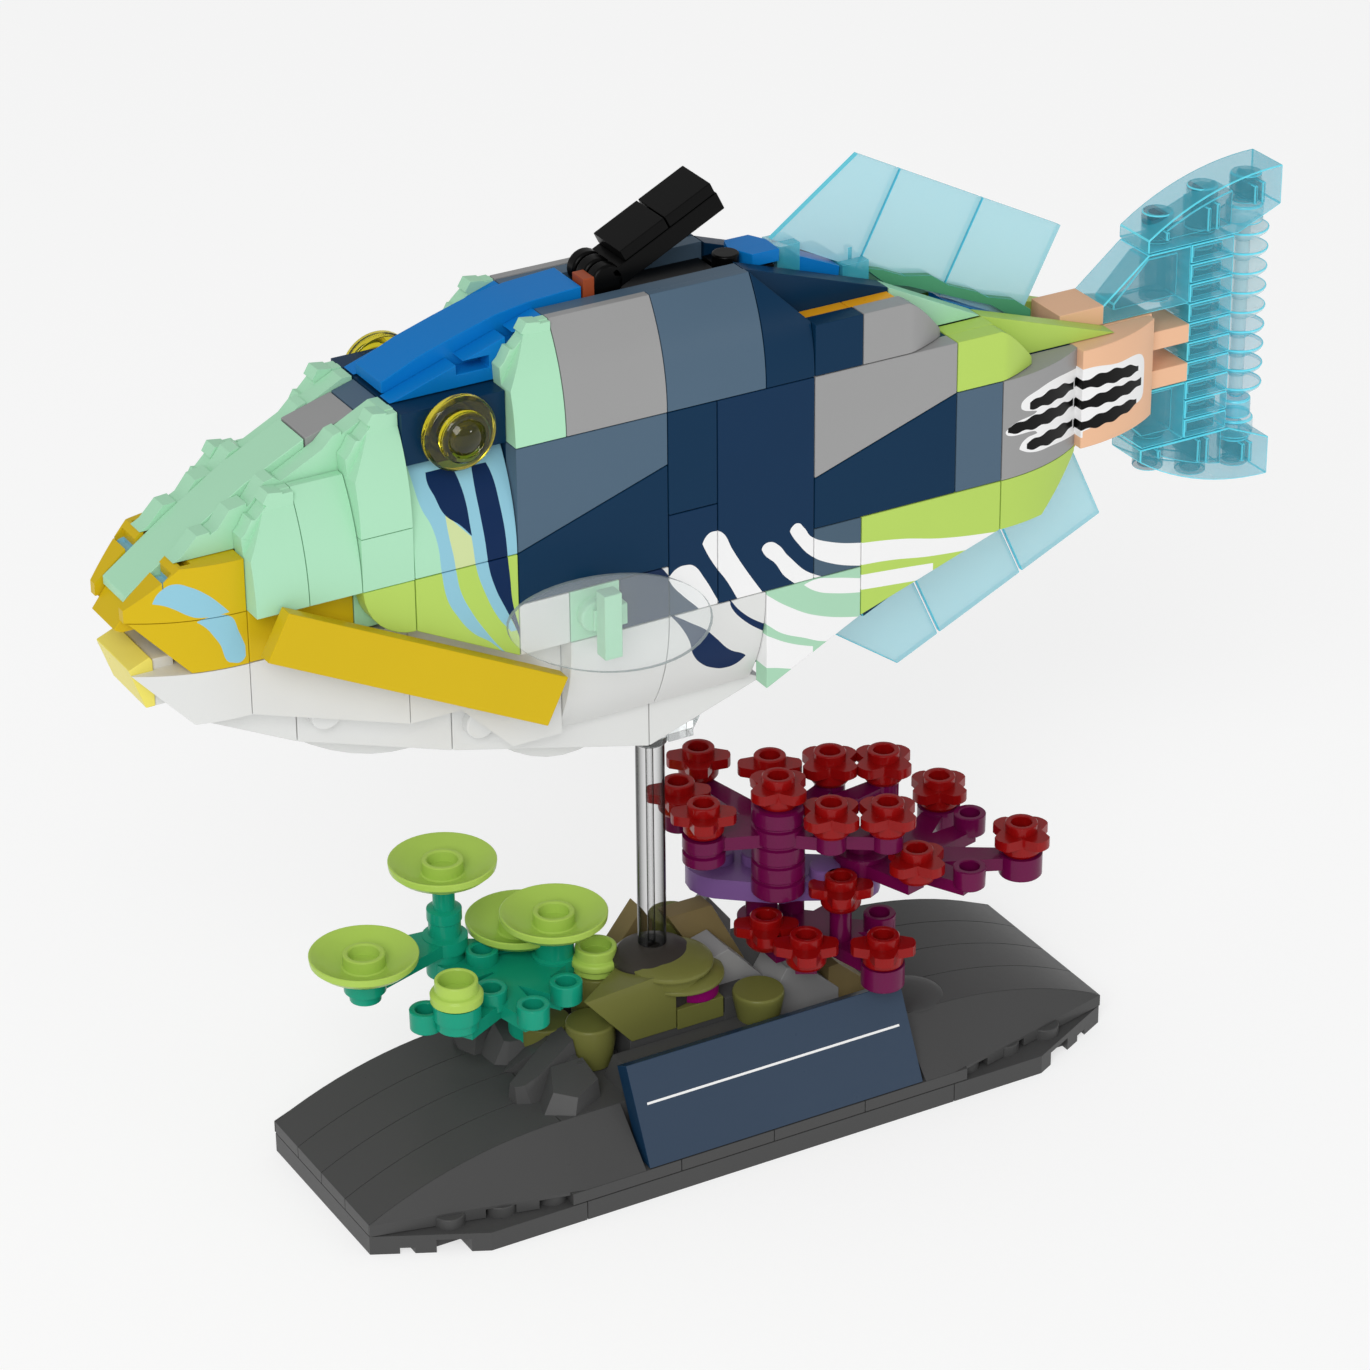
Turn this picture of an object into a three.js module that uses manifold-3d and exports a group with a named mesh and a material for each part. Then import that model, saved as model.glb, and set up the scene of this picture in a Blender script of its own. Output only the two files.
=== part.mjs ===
// Brick-built triggerfish display model on a clear rod and a dark gray brick base.
// Millimetres, +Z up. The origin is the centre of the base's underside.
// The head points to -X and the left flank faces -Y.
import * as THREE from "three";
import { mergeVertices } from "three/addons/utils/BufferGeometryUtils.js";
import Module from "manifold-3d";

const wasm = await Module();
wasm.setup();

// Brick grid
const STUD = 8;
const PLATE = 3.2;
const BRICK = 9.6;
const FISH_X = -35.38; // x of grid column 0
const FISH_Z = 122.14; // z of grid row 0, rows count downwards
const LAYER = [4, 7.2, 10.4, 13.6]; // distances of the side layers from the middle plane
const GAP = 0.15; // half the gap between two nodes
const SEAM = 0.12; // half the seam between two bricks of one node
const gx = (i) => FISH_X + STUD * i;
const gz = (j) => FISH_Z - STUD * j;

// Curved slope brick, two studs long
const SLOPE_LENGTH = 16;
const SLOPE_HEIGHT = 6.4;
const SLOPE_RADIUS = 28.6;
const SLOPE_STEPS = 8;
const slopeHeight = (t) =>
  SLOPE_HEIGHT - SLOPE_RADIUS + Math.sqrt(SLOPE_RADIUS ** 2 - t ** 2);

const COLOUR = {
  mint: 0xaee6c4,
  yellow: 0xd5b820,
  paleYellow: 0xece06a,
  blue: 0x1262ae,
  navy: 0x17375a,
  slate: 0x4f6173,
  gray: 0x9a9a9a,
  lime: 0xb4dc64,
  nougat: 0xd3a283,
  white: 0xebebeb,
  black: 0x151515,
  paleBlue: 0xa9dbe2,
  cyan: 0x3fc4dc,
  clear: 0xe8eef0,
  darkGray: 0x474747,
  plaqueBlue: 0x3b5068,
  teal: 0x107a62,
  red: 0xc81414,
  olive: 0x6b6e2e,
};

// Solids from three.js geometry
function solid(geometry) {
  const g = geometry.index ? geometry.toNonIndexed() : geometry.clone();
  g.deleteAttribute("normal");
  g.deleteAttribute("uv");
  const merged = mergeVertices(g, 1e-4);
  return new wasm.Manifold(
    new wasm.Mesh({
      numProp: 3,
      vertProperties: merged.attributes.position.array,
      triVerts: new Uint32Array(merged.index.array),
    }),
  );
}
const join = (...parts) =>
  parts.flat().reduce((all, next) => (all ? all.add(next) : next), null);

// A polygon pushed out along one axis. Plane "xz" runs along y, "xy" along z, "yz" along x.
function prism(plane, points, from, to) {
  const shape = new THREE.Shape(points.map(([a, b]) => new THREE.Vector2(a, b)));
  const g = new THREE.ExtrudeGeometry(shape, {
    depth: to - from,
    bevelEnabled: false,
    curveSegments: 6,
  });
  g.translate(0, 0, from);
  if (plane === "xz") {
    g.translate(0, 0, -from - to);
    g.rotateX(Math.PI / 2);
  }
  if (plane === "yz") {
    const m = new THREE.Matrix4();
    m.set(0, 0, 1, 0, 1, 0, 0, 0, 0, 1, 0, 0, 0, 0, 0, 1);
    g.applyMatrix4(m);
  }
  return solid(g);
}
const box = (x0, x1, y0, y1, z0, z1) =>
  solid(
    new THREE.BoxGeometry(x1 - x0, y1 - y0, z1 - z0).translate(
      (x0 + x1) / 2,
      (y0 + y1) / 2,
      (z0 + z1) / 2,
    ),
  );

// A simple polygon moved inwards by d at every side
function inset(points, d) {
  const area = points.reduce((sum, [x, y], k) => {
    const [u, v] = points[(k + 1) % points.length];
    return sum + x * v - u * y;
  }, 0);
  const turn = Math.sign(area);
  return points.map((p, k) => {
    const before = points[(k + points.length - 1) % points.length];
    const after = points[(k + 1) % points.length];
    const a = new THREE.Vector2(p[0] - before[0], p[1] - before[1]).normalize();
    const b = new THREE.Vector2(after[0] - p[0], after[1] - p[1]).normalize();
    const na = new THREE.Vector2(-a.y, a.x).multiplyScalar(turn);
    const nb = new THREE.Vector2(-b.y, b.x).multiplyScalar(turn);
    const half = na.clone().add(nb).normalize();
    const reach = Math.min(d / Math.max(half.dot(nb), 0.3), 3 * d);
    return [p[0] + half.x * reach, p[1] + half.y * reach];
  });
}
const onGrid = (points) => points.map(([i, j]) => [gx(i), gz(j)]);

// Flat brickwork on one side of the fish: side is -1 for the left flank, +1 for the right
function range(side, near, far) {
  return side < 0 ? [-far, -near] : [near, far];
}
function tile(side, points, near, far, trim = SEAM) {
  return prism("xz", inset(onGrid(points), trim), ...range(side, near, far));
}
function middle(points, half, trim = GAP) {
  return prism("xz", inset(onGrid(points), trim), -half, half);
}
function slopeProfile(side, base, start, sign, trim) {
  const length = SLOPE_LENGTH - 2 * trim;
  const points = [
    [start, base + GAP],
    [start + sign * length, base + GAP],
  ];
  for (let k = SLOPE_STEPS; k >= 0; k--) {
    const t = (length * k) / SLOPE_STEPS;
    points.push([start + sign * t, base + slopeHeight(t)]);
  }
  return points.map(([t, d]) => [t, side * d]);
}
// Curved slope whose thick end is at row thick and whose thin end is two rows away
function slopeAlongRows(side, i0, i1, thick, thin, base, trim = SEAM) {
  const sign = Math.sign(thick - thin);
  const profile = slopeProfile(side, base, gz(thick) + sign * trim, sign, trim);
  return prism("yz", profile.map(([z, y]) => [y, z]), gx(i0) + trim, gx(i1) - trim);
}
// Curved slope whose thick end is at column thick and whose thin end is two columns away
function slopeAlongColumns(side, j0, j1, thick, thin, base, trim = SEAM) {
  const sign = Math.sign(thin - thick);
  const profile = slopeProfile(side, base, gx(thick) + sign * trim, sign, trim);
  return prism("xy", profile, gz(j1) + trim, gz(j0) - trim);
}
// What is left of a piece inside a grid polygon
function within(piece, side, points, trim = SEAM) {
  return piece.intersect(tile(side, points, 0, 30, trim));
}

const root = new THREE.Group();
root.name = "triggerfish_brick_model";
function add(name, made, colour, extra = {}) {
  const m = made.getMesh();
  const positions = new Float32Array((m.vertProperties.length / m.numProp) * 3);
  for (let k = 0; k < positions.length / 3; k++) {
    positions.set(m.vertProperties.subarray(k * m.numProp, k * m.numProp + 3), k * 3);
  }
  const g = new THREE.BufferGeometry();
  g.setAttribute("position", new THREE.BufferAttribute(positions, 3));
  g.setIndex(new THREE.BufferAttribute(m.triVerts, 1));
  const mesh = new THREE.Mesh(
    g,
    new THREE.MeshStandardMaterial({ color: colour, flatShading: true, ...extra }),
  );
  mesh.name = name;
  root.add(mesh);
}
const SIDES = [
  [-1, "left"],
  [1, "right"],
];
const GLASSY = { transparent: true, opacity: 0.55 };

// Cheeks: mint curved slopes, a tile, and the wedge plates beside the snout
for (const [side, word] of SIDES) {
  const front = slopeAlongRows(side, -5, -4, 2, 0, LAYER[1]);
  const between = slopeAlongRows(side, -4, -3, 2, 0, LAYER[1]);
  const upper = slopeAlongRows(side, -3, -2, 1, -1, LAYER[1]);
  add(
    "cheek_" + word,
    join(
      within(front, side, [[-5, 2], [-4, 2], [-4, 0], [-4.45, 0], [-5, 1]]),
      within(between, side, [[-4, 2], [-3, 2], [-3, 0], [-4, 0]]),
      within(upper, side, [[-3, 1], [-2, 1], [-2, -1], [-2.45, -1], [-3, 0]]),
      tile(side, [[-3, 1], [-2, 1], [-2, 2], [-3, 2]], LAYER[1] + GAP, LAYER[3]),
      tile(
        side,
        [[-5, 2], [-5, 1], [-4.45, 0], [-3, 0], [-2.45, -1], [-2, -1], [-2, 2]],
        LAYER[1] + GAP,
        8.3,
        GAP,
      ),
      tile(
        side,
        [[-6.1, 1], [-5.3, 0.62], [-3.9, -0.1], [-2.6, -0.75], [-2, -0.95], [-2, 1]],
        LAYER[0] + GAP,
        7.6,
        GAP,
      ),
    ),
    COLOUR.mint,
  );
}

// Lips: yellow curved slopes either side of the snout
for (const [side, word] of SIDES) {
  const upper = slopeAlongColumns(side, 1, 2, -5, -7, LAYER[0]);
  const lower = slopeAlongColumns(side, 2, 3, -5, -7, LAYER[0]);
  add(
    "lip_" + word,
    join(
      within(upper, side, [[-5, 1], [-6.1, 1], [-7, 1.7], [-7, 2], [-5, 2]]),
      within(lower, side, [[-5, 2], [-7, 2], [-6, 3], [-5, 3]]),
      tile(
        side,
        [[-5, 1], [-6.1, 1], [-6.9, 1.7], [-6.9, 2], [-6, 3], [-5, 3]],
        LAYER[0] + GAP,
        5.2,
        GAP,
      ),
    ),
    COLOUR.yellow,
  );
}

// Faces: the printed curved panel over the lime panel, with the rounded lime tile before it
for (const [side, word] of SIDES) {
  const panel = slopeAlongRows(side, -2, 0, 2, 0, LAYER[1]);
  const round = [[-2.02, 2], [-3, 2]];
  for (let k = 1; k <= 6; k++) {
    const a = (Math.PI / 2) * (k / 6);
    round.push([-2.02 - 0.98 * Math.cos(a), 2 + Math.sin(a)]);
  }
  add(
    "face_" + word,
    join(
      panel,
      tile(side, [[-2, 2], [0, 2], [0, 4], [-2, 3]], LAYER[1] + GAP, LAYER[3]),
      tile(side, round, 11.2, LAYER[3]),
      tile(side, [[-2.6, 2], [0, 2], [0, 2.9], [-2.6, 2.6]], 11.2, 12.8, GAP),
      tile(side, [[-2, 0], [0, 0], [0, 4], [-2, 3]], LAYER[1] + GAP, 8.3, GAP),
    ),
    COLOUR.lime,
  );
}

// Eyes: navy block with a see-through disc, a ring and a domed middle
const EYE = { i: -1, j: -0.5, rim: 5.5, ring: 3.6, dome: 2.6 };
for (const [side, word] of SIDES) {
  const along = (profile) => {
    const points = profile.map(([r, d]) => new THREE.Vector2(r, d));
    const g = new THREE.LatheGeometry(points, 24);
    if (side < 0) g.rotateX(Math.PI);
    g.translate(gx(EYE.i), 0, gz(EYE.j));
    return solid(g);
  };
  add(
    "eye_" + word,
    join(
      tile(side, [[-2, -1], [0, -1], [0, 0], [-2, 0]], LAYER[1] + GAP, 11, GAP),
      along([
        [0, 10.3],
        [EYE.rim - 0.4, 10.9],
        [EYE.rim, 11.5],
        [EYE.rim, 13],
        [EYE.rim - 0.5, 13.5],
        [EYE.ring, 13.5],
        [EYE.ring, 14.8],
        [EYE.dome, 15],
        [1.4, 15.7],
        [0, 15.9],
      ]),
    ),
    COLOUR.navy,
  );
}

// Back: four curved slopes a side, on an inner strip
for (const [side, word] of SIDES) {
  const slope = (i0, i1) => slopeAlongRows(side, i0, i1, 0, -2, LAYER[1]);
  add(
    "back_" + word,
    join(
      within(slope(0, 1), side, [[0, 0], [1, 0], [1, -2], [0.55, -2], [0, -1]]),
      slope(1, 3),
      slope(3, 5),
      within(slope(5, 6), side, [[5, 0], [6, 0], [6, -1], [5, -2]]),
      tile(
        side,
        [[0, 0], [0, -1], [0.55, -2], [5, -2], [6, -1], [6, 0]],
        LAYER[1] + GAP,
        8.3,
        GAP,
      ),
      tile(side, [[1, 0], [1, -2], [5, -2], [5, 0]], LAYER[0] + GAP, 7.6, GAP),
    ),
    COLOUR.slate,
  );
}

// Rear back: block, curved corners and the wedge plates that run down to the tail
function curvedCorner(side, i0, j0, inner) {
  const top = [];
  const plan = [];
  for (let k = 0; k <= 6; k++) {
    const a = (Math.PI / 2) * (k / 6);
    top.push([i0 + 0.8 + 1.2 * Math.sin(a), j0 + 1 - Math.cos(a) ** 0.8]);
    plan.push([gx(i0 + 0.5 + 1.5 * Math.sin(a)), side * (8 + 5.6 * Math.cos(a) ** 0.7)]);
  }
  const upright = tile(side, [[i0, j0 + 1], [i0, j0], ...top], inner, LAYER[3]);
  const flat = prism(
    "xy",
    [[gx(i0), side * 4], [gx(i0), side * LAYER[3]], ...plan, [gx(i0 + 2), side * 4]],
    60,
    160,
  );
  return upright.intersect(flat);
}
for (const [side, word] of SIDES) {
  add(
    "rear_back_" + word,
    join(
      tile(side, [[6, -1], [7, -1], [7, 0], [6, 0]], LAYER[2] + GAP, LAYER[3]),
      curvedCorner(side, 7, -1, 8),
      curvedCorner(side, 9, 0, 8),
      tile(side, [[6, -0.94], [8, -0.94], [8.9, 0], [6, 0]], 6.9, LAYER[2] + 0.3, GAP),
      tile(side, [[9, 0], [10.8, 0.75], [10.9, 1], [9, 1]], 6.9, LAYER[2] - GAP, GAP),
      tile(side, [[5, -2], [8, -1], [10, 0], [5, 0]], LAYER[0] + GAP, LAYER[1] - GAP, GAP),
      tile(
        side,
        [[7.4, -1.2], [8, -1], [10, 0], [13, 1], [9, 1], [9, 0]],
        LAYER[0] + GAP,
        LAYER[1] - GAP,
        GAP,
      ),
    ),
    COLOUR.lime,
  );
}

// Flanks: flat tiles and wedge plates on one backing
const FLANK = [
  [[0, 0], [3, 0], [3, 1], [0, 2]],
  [[0, 2], [3, 1], [3, 3], [0, 3]],
  [[3, 0], [4, 0], [4, 2], [3, 2]],
  [[3, 2], [4, 2], [4, 4], [3, 4]],
  [[4, 0], [6, 0], [6, 4], [4, 4]],
  [[6, 0], [9, 0], [9, 1], [6, 2]],
  [[6, 2], [9, 1], [9, 3], [6, 3]],
  [[6, 3], [7, 3], [7, 4], [6, 4]],
  [[9, 1], [10, 1], [10, 3], [9, 3]],
  [[0, 3], [1, 3], [1, 4], [0, 4]],
  [[1, 3], [2, 3], [2, 4], [1, 4]],
  [[2, 3], [3, 3], [3, 4], [2, 4]],
];
const FLANK_EDGE = [[0, 0], [9, 0], [9, 1], [10, 1], [10, 3], [7, 3], [7, 4], [0, 4]];
for (const [side, word] of SIDES) {
  add(
    "flank_" + word,
    join(
      FLANK.map((points) => tile(side, points, LAYER[2] + GAP, LAYER[3])),
      tile(side, FLANK_EDGE, LAYER[2] + GAP, 13.1, GAP),
      box(
        gx(1.35),
        gx(1.85),
        Math.min(side * 13, side * 17.2),
        Math.max(side * 13, side * 17.2),
        gz(3.85),
        gz(3.2),
      ),
    ),
    COLOUR.navy,
  );
}

// Lower flanks: lime and mint wedge plates
for (const [side, word] of SIDES) {
  add(
    "lower_flank_" + word,
    join(
      tile(side, [[7, 3], [10, 3], [10, 4], [7, 5]], LAYER[2] + GAP, LAYER[3]),
      tile(side, [[5, 4], [7, 4], [7, 5], [5, 6]], LAYER[2] + GAP, LAYER[3]),
      tile(
        side,
        [[7, 3], [10, 3], [10, 4], [7, 5], [5, 6], [5, 4], [7, 4]],
        LAYER[2] + GAP,
        13.1,
        GAP,
      ),
    ),
    COLOUR.lime,
  );
}

// Tail stalk sides: gray and lime slopes, then the nougat slope down to the tail fin
for (const [side, word] of SIDES) {
  const lime = slopeAlongColumns(side, 3, 4, 10, 12, LAYER[1]);
  add(
    "stalk_side_" + word,
    join(
      slopeAlongColumns(side, 1, 3, 10, 12, LAYER[1]),
      within(lime, side, [[10, 3], [12, 3], [11.8, 3.3], [11, 4], [10, 4]]),
      tile(
        side,
        [[10, 1], [12, 1], [12, 3], [11.8, 3.3], [11, 4], [10, 4]],
        LAYER[1] + GAP,
        8.3,
        GAP,
      ),
    ),
    COLOUR.gray,
  );
  add(
    "stalk_end_" + word,
    slopeAlongColumns(side, 1, 3, 12, 14, LAYER[0], GAP),
    COLOUR.nougat,
  );
}
const finger = (z) => box(gx(13.5), gx(14.96), -3.9, 3.9, z + GAP, z + PLATE - GAP);
const FINGERS = [gz(1) - 4 * PLATE, gz(1) - 2 * PLATE];
add(
  "tail_stalk",
  join(
    middle([[12, 0.6], [13, 0.6], [13, 1], [14.1, 1], [14.1, 3.1], [12, 3.1]], 3.9),
    middle([[12, 3], [12.7, 3], [12.3, 3.6], [12, 3.6]], 3.9, 0.02),
    FINGERS.map(finger),
  ),
  COLOUR.nougat,
);

// Belly sides: white curved slopes
for (const [side, word] of SIDES) {
  add(
    "belly_" + word,
    join(
      slopeAlongRows(side, 1, 3, 4, 6, LAYER[1]),
      slopeAlongRows(side, 3, 5, 4, 6, LAYER[1]),
      tile(side, [[1, 4], [5, 4], [5, 6], [1, 6]], LAYER[1] + GAP, 8.3, GAP),
    ),
    COLOUR.white,
  );
}

// Jaw sides: the chin slope and the stepped white plates
for (const [side, word] of SIDES) {
  const chin = slopeAlongColumns(side, 3, 4, -5, -7, LAYER[0]);
  add(
    "jaw_" + word,
    join(
      within(chin, side, [[-5, 3], [-7, 3], [-6, 4], [-5, 4]]),
      tile(side, [[-5, 3], [-6.6, 3.1], [-6, 3.9], [-5, 4]], LAYER[0] + GAP, 5.2, GAP),
      tile(side, [[-5.6, 3.1], [-4.6, 3.1], [-4.6, 3.9], [-5.6, 3.9]], 7.5, 8.6, GAP),
      tile(side, [[-5, 3], [-2, 3], [-2, 5], [-5, 4]], LAYER[1] + GAP, LAYER[2]),
      tile(
        side,
        [[-2, 3.05], [-0.1, 4.05], [1, 4.05], [1, 6], [0, 6], [-1, 5], [-2, 5]],
        LAYER[1] + GAP,
        LAYER[2],
      ),
      tile(
        side,
        [[-5, 3], [-2, 3.05], [-0.1, 4.05], [1, 4.05], [1, 6], [0, 6], [-1, 5], [-2, 5], [-5, 4]],
        LAYER[1] + GAP,
        9.8,
        GAP,
      ),
    ),
    COLOUR.white,
  );
}

// Keel: the white underside between the jaw and belly sides
function bulge(iMiddle, jFrom, half, drop) {
  const points = [];
  for (let k = 0; k <= 8; k++) {
    const s = -1 + (2 * k) / 8;
    points.push([iMiddle + half * s, jFrom + 0.24 * half * s + drop * (1 - s * s)]);
  }
  points.push([iMiddle + half, jFrom - 0.5], [iMiddle - half, jFrom - 0.5]);
  return middle(points, 3.9, 0.01);
}
add(
  "keel",
  join(
    middle(
      [[-5.9, 4.05], [-4, 5], [-1, 6], [3, 7], [5.4, 6.2], [5.4, 6], [5, 5.95], [5, 4.05]],
      LAYER[1] - GAP,
      0.05,
    ),
    bulge(-2.4, 5.45, 1.5, 0.35),
    bulge(1.1, 6.4, 1.2, 0.45),
  ),
  COLOUR.white,
);

// Yellow bars that slant down behind the cheeks
const BAR = { x: -52.35, z: 93.6, length: 47.8, height: 7.7, slope: -0.4636, near: 13.9, far: 16.5 };
for (const [side, word] of SIDES) {
  const g = new THREE.BoxGeometry(BAR.length, BAR.far - BAR.near, BAR.height);
  g.rotateY(-BAR.slope);
  g.translate(BAR.x, (side * (BAR.near + BAR.far)) / 2, BAR.z);
  const pin = box(-49, -45, ...range(side, LAYER[2] + 0.3, BAR.near + 0.5), 89, 93);
  add("cheek_bar_" + word, join(solid(g), pin), COLOUR.yellow);
}

// Snout ridge, the small blocks above it and the blue forehead
const onColumns = (points) => points.map(([i, z]) => [gx(i), z]);
add(
  "snout_ridge",
  prism(
    "xz",
    onColumns([
      [-6.87, 107.8],
      [-6.87, 109.2],
      [-5.96, 114.4],
      [-5.47, 117.2],
      [-4.58, 121.7],
      [-3.43, 126.3],
      [-3.43, 119],
      [-5.5, 107.8],
    ]),
    -3.9,
    3.9,
  ),
  COLOUR.mint,
);
add(
  "ridge_blocks",
  prism(
    "xz",
    onColumns([
      [-3.39, 119.2],
      [-3.39, 126.4],
      [-2.43, 128.6],
      [-2.02, 129.65],
      [-2.02, 121],
      [-3.2, 121],
    ]),
    -3.9,
    3.9,
  ),
  COLOUR.gray,
);
add(
  "forehead",
  join(
    prism(
      "xz",
      onColumns([
        [-1.93, 130.3],
        [-1.93, 132],
        [-1.19, 134.6],
        [-0.44, 136.5],
        [0.3, 138.2],
        [0.97, 139],
        [1.98, 139.5],
        [1.98, 130.3],
      ]),
      -3.9,
      3.9,
    ),
    prism(
      "xz",
      onColumns([
        [-1.93, 130.3],
        [-0.7, 133.4],
        [-0.7, 132.5],
        [-0.05, 134],
        [-0.05, 135.2],
        [0.97, 137.8],
        [0.97, 130.3],
      ]),
      -LAYER[1] + GAP,
      LAYER[1] - GAP,
    ),
  ),
  COLOUR.blue,
);
add(
  "upper_lip",
  middle([[-6.2, 1.85], [-6.85, 1.85], [-7.1, 2.2], [-6.95, 2.3], [-6.2, 2.2]], 3.9, 0.02),
  COLOUR.yellow,
);
add(
  "lower_lip",
  middle(
    [[-7.05, 2.8], [-6.4, 2.38], [-6.15, 2.5], [-6.15, 3.85], [-6.45, 3.85], [-6.7, 3.72]],
    3.9,
    0.02,
  ),
  COLOUR.paleYellow,
);

// Inside: stepped core that carries every side piece
add(
  "body_core",
  join(
    middle(
      [
        [-6.1, 2.35], [-5.75, 1.95], [-5.45, 1.87], [-3.4, 0.6], [-3.2, 0.2], [-1.97, 0.2],
        [-1.97, -0.98], [2.02, -0.98], [2.02, -1.6], [5.9, -1.6], [7.97, -0.8],
        [11.3, 0.9], [11.98, 1], [11.98, 3.5], [7.1, 5.75], [5.05, 5.95],
        [5.05, 4], [-6.1, 4],
      ],
      LAYER[0] - GAP,
      0.12,
    ),
    middle(
      [
        [-4.98, 1.62], [-4, 1], [-2, 1], [-2, -1], [1, -1], [1, 0], [9, 0], [9, 1], [12, 1], [12, 3],
        [11.6, 3.4], [7, 5.3], [5.05, 5.9], [5.05, 4], [-4.98, 4],
      ],
      LAYER[1] - GAP,
    ),
    middle(
      [
        [0, 0], [9, 0], [9, 1], [10, 1], [10, 3.95], [7, 4.9], [5.05, 5.7], [5.05, 4],
        [0, 4],
      ],
      LAYER[2] - GAP,
    ),
  ),
  COLOUR.navy,
);

// Fins of clear pale blue panels, each row on one bar
const PANEL = { width: 15.7, thick: 1, pitch: 16.1 };
function finRow(x, z, angle, panels, down) {
  const u = [Math.cos(angle), Math.sin(angle)];
  const v = [-u[1], u[0]];
  const at = (a, b) => [x + a * u[0] + b * v[0], z + a * u[1] + b * v[1]];
  const made = panels.map(([a0, a1, cut]) => {
    const points = cut
      ? [at(a0 + 8, 0), at(a1, 0), at(a1, down), at(a0, down)]
      : [at(a0, 0), at(a1, 0), at(a1, down), at(a0, down)];
    return prism("xz", points, -PANEL.thick / 2, PANEL.thick / 2);
  });
  return { made, at };
}
function finBar(from, to, radius) {
  const length = Math.hypot(to[0] - from[0], to[1] - from[1]);
  const g = new THREE.CylinderGeometry(radius, radius, length, 12);
  g.rotateZ(Math.PI / 2);
  g.rotateY(-Math.atan2(to[1] - from[1], to[0] - from[0]));
  g.translate((from[0] + to[0]) / 2, 0, (from[1] + to[1]) / 2);
  return solid(g);
}
const PANELS = [
  [-8, 7.8, true],
  [8.2, 23.9, false],
  [24.3, 39.7, false],
];
const dorsal = finRow(27.4, 148.5, -0.4795, PANELS, -15.6);
add(
  "dorsal_fin",
  join(dorsal.made, finBar(dorsal.at(-5, -14.6), dorsal.at(39.4, -14.6), 1.3)),
  COLOUR.paleBlue,
  GLASSY,
);
const anal = finRow(35.4, 64.4, 0.4276, PANELS, 13.6);
add(
  "anal_fin",
  join(anal.made, finBar(anal.at(-3, 12.9), anal.at(34, 12.9), 1.2)),
  COLOUR.paleBlue,
  GLASSY,
);

// Trigger spine: a black double plate on a hinge
const SPINE = { x: -11.8, z: 137.2, slope: 0.4636, width: 7.8 };
{
  const lift = (g) => {
    g.rotateY(-SPINE.slope);
    g.translate(SPINE.x, 0, SPINE.z);
    return solid(g);
  };
  const slab = (x0, x1, z0, z1, w) =>
    lift(new THREE.BoxGeometry(x1 - x0, w, z1 - z0).translate((x0 + x1) / 2, 0, (z0 + z1) / 2));
  const hinge = new THREE.CylinderGeometry(2.6, 2.6, SPINE.width, 16).translate(-2.2, 0, 3.2);
  add(
    "trigger_spine",
    join(
      slab(-1, 17.8, 1.3, 4.4, SPINE.width),
      slab(1.4, 9.2, 4.2, 6.2, SPINE.width),
      slab(9.5, 17.6, 4.2, 6.2, SPINE.width),
      lift(hinge),
    ),
    COLOUR.black,
  );
}
const CLIP_FOOT = gz(-1.6) + GAP;
add(
  "spine_mount",
  join(
    box(-19.2, -18.1, -3.9, 3.9, CLIP_FOOT, 140.6),
    box(-19.2, 3.6, -3.9, 3.9, CLIP_FOOT, 136.1),
  ),
  COLOUR.navy,
);
add(
  "dorsal_clip",
  join(
    box(6.2, 12.4, -3.9, 3.9, CLIP_FOOT, 136.4),
    box(7.6, 11.9, -1.6, 1.6, CLIP_FOOT, 139),
  ),
  COLOUR.black,
);

// Tail fin: see-through cyan bricks mirrored about the middle of the stalk
const TAIL_MIDDLE = FISH_Z - STUD - 2 * PLATE;
const TAIL_HALF = 8 * PLATE;
function tailHalf(sign) {
  const z = (up) => TAIL_MIDDLE + sign * up;
  const arc = [];
  const rise = 7.4;
  const reach = 24;
  const radius = (reach ** 2 + rise ** 2) / (2 * rise);
  for (let k = 0; k <= 10; k++) {
    const t = (reach * k) / 10;
    const drop = radius - Math.sqrt(radius ** 2 - (reach - t) ** 2);
    arc.push([gx(14) + t, z(TAIL_HALF - drop)]);
  }
  const top = [[gx(14), z(16)], ...arc, [gx(17), z(19.2)], [gx(16), z(19.2)], [gx(16), z(16)]];
  const slope = [
    [gx(13), z(6.4)],
    [gx(13), z(9.3)],
    [gx(14) + 0.1, z(16)],
    [gx(15.2), z(16)],
    [gx(15.2), z(6.4)],
  ];
  const half = 3.9;
  return join(
    prism("xz", top, -half, half),
    prism("xz", inset(slope, 0.06), -half, half),
  );
}
add(
  "tail_fin",
  join(
    tailHalf(1),
    tailHalf(-1),
    box(gx(15), gx(16), -3.9, 3.9, TAIL_MIDDLE - 16.1, TAIL_MIDDLE + 16.1),
    box(gx(14.14), gx(15.2), -3.9, 3.9, FINGERS[1] + PLATE + GAP, FINGERS[1] + 2 * PLATE),
    box(gx(14.14), gx(15.2), -3.9, 3.9, FINGERS[0] + PLATE + GAP, FINGERS[1] - GAP),
    box(gx(14.14), gx(15.2), -3.9, 3.9, FINGERS[0] - PLATE, FINGERS[0] - GAP),
  ).subtract(box(gx(12.9), gx(14.13), -5, 5, gz(3.12) - 0.3, gz(1) + GAP)),
  COLOUR.cyan,
  GLASSY,
);
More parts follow.
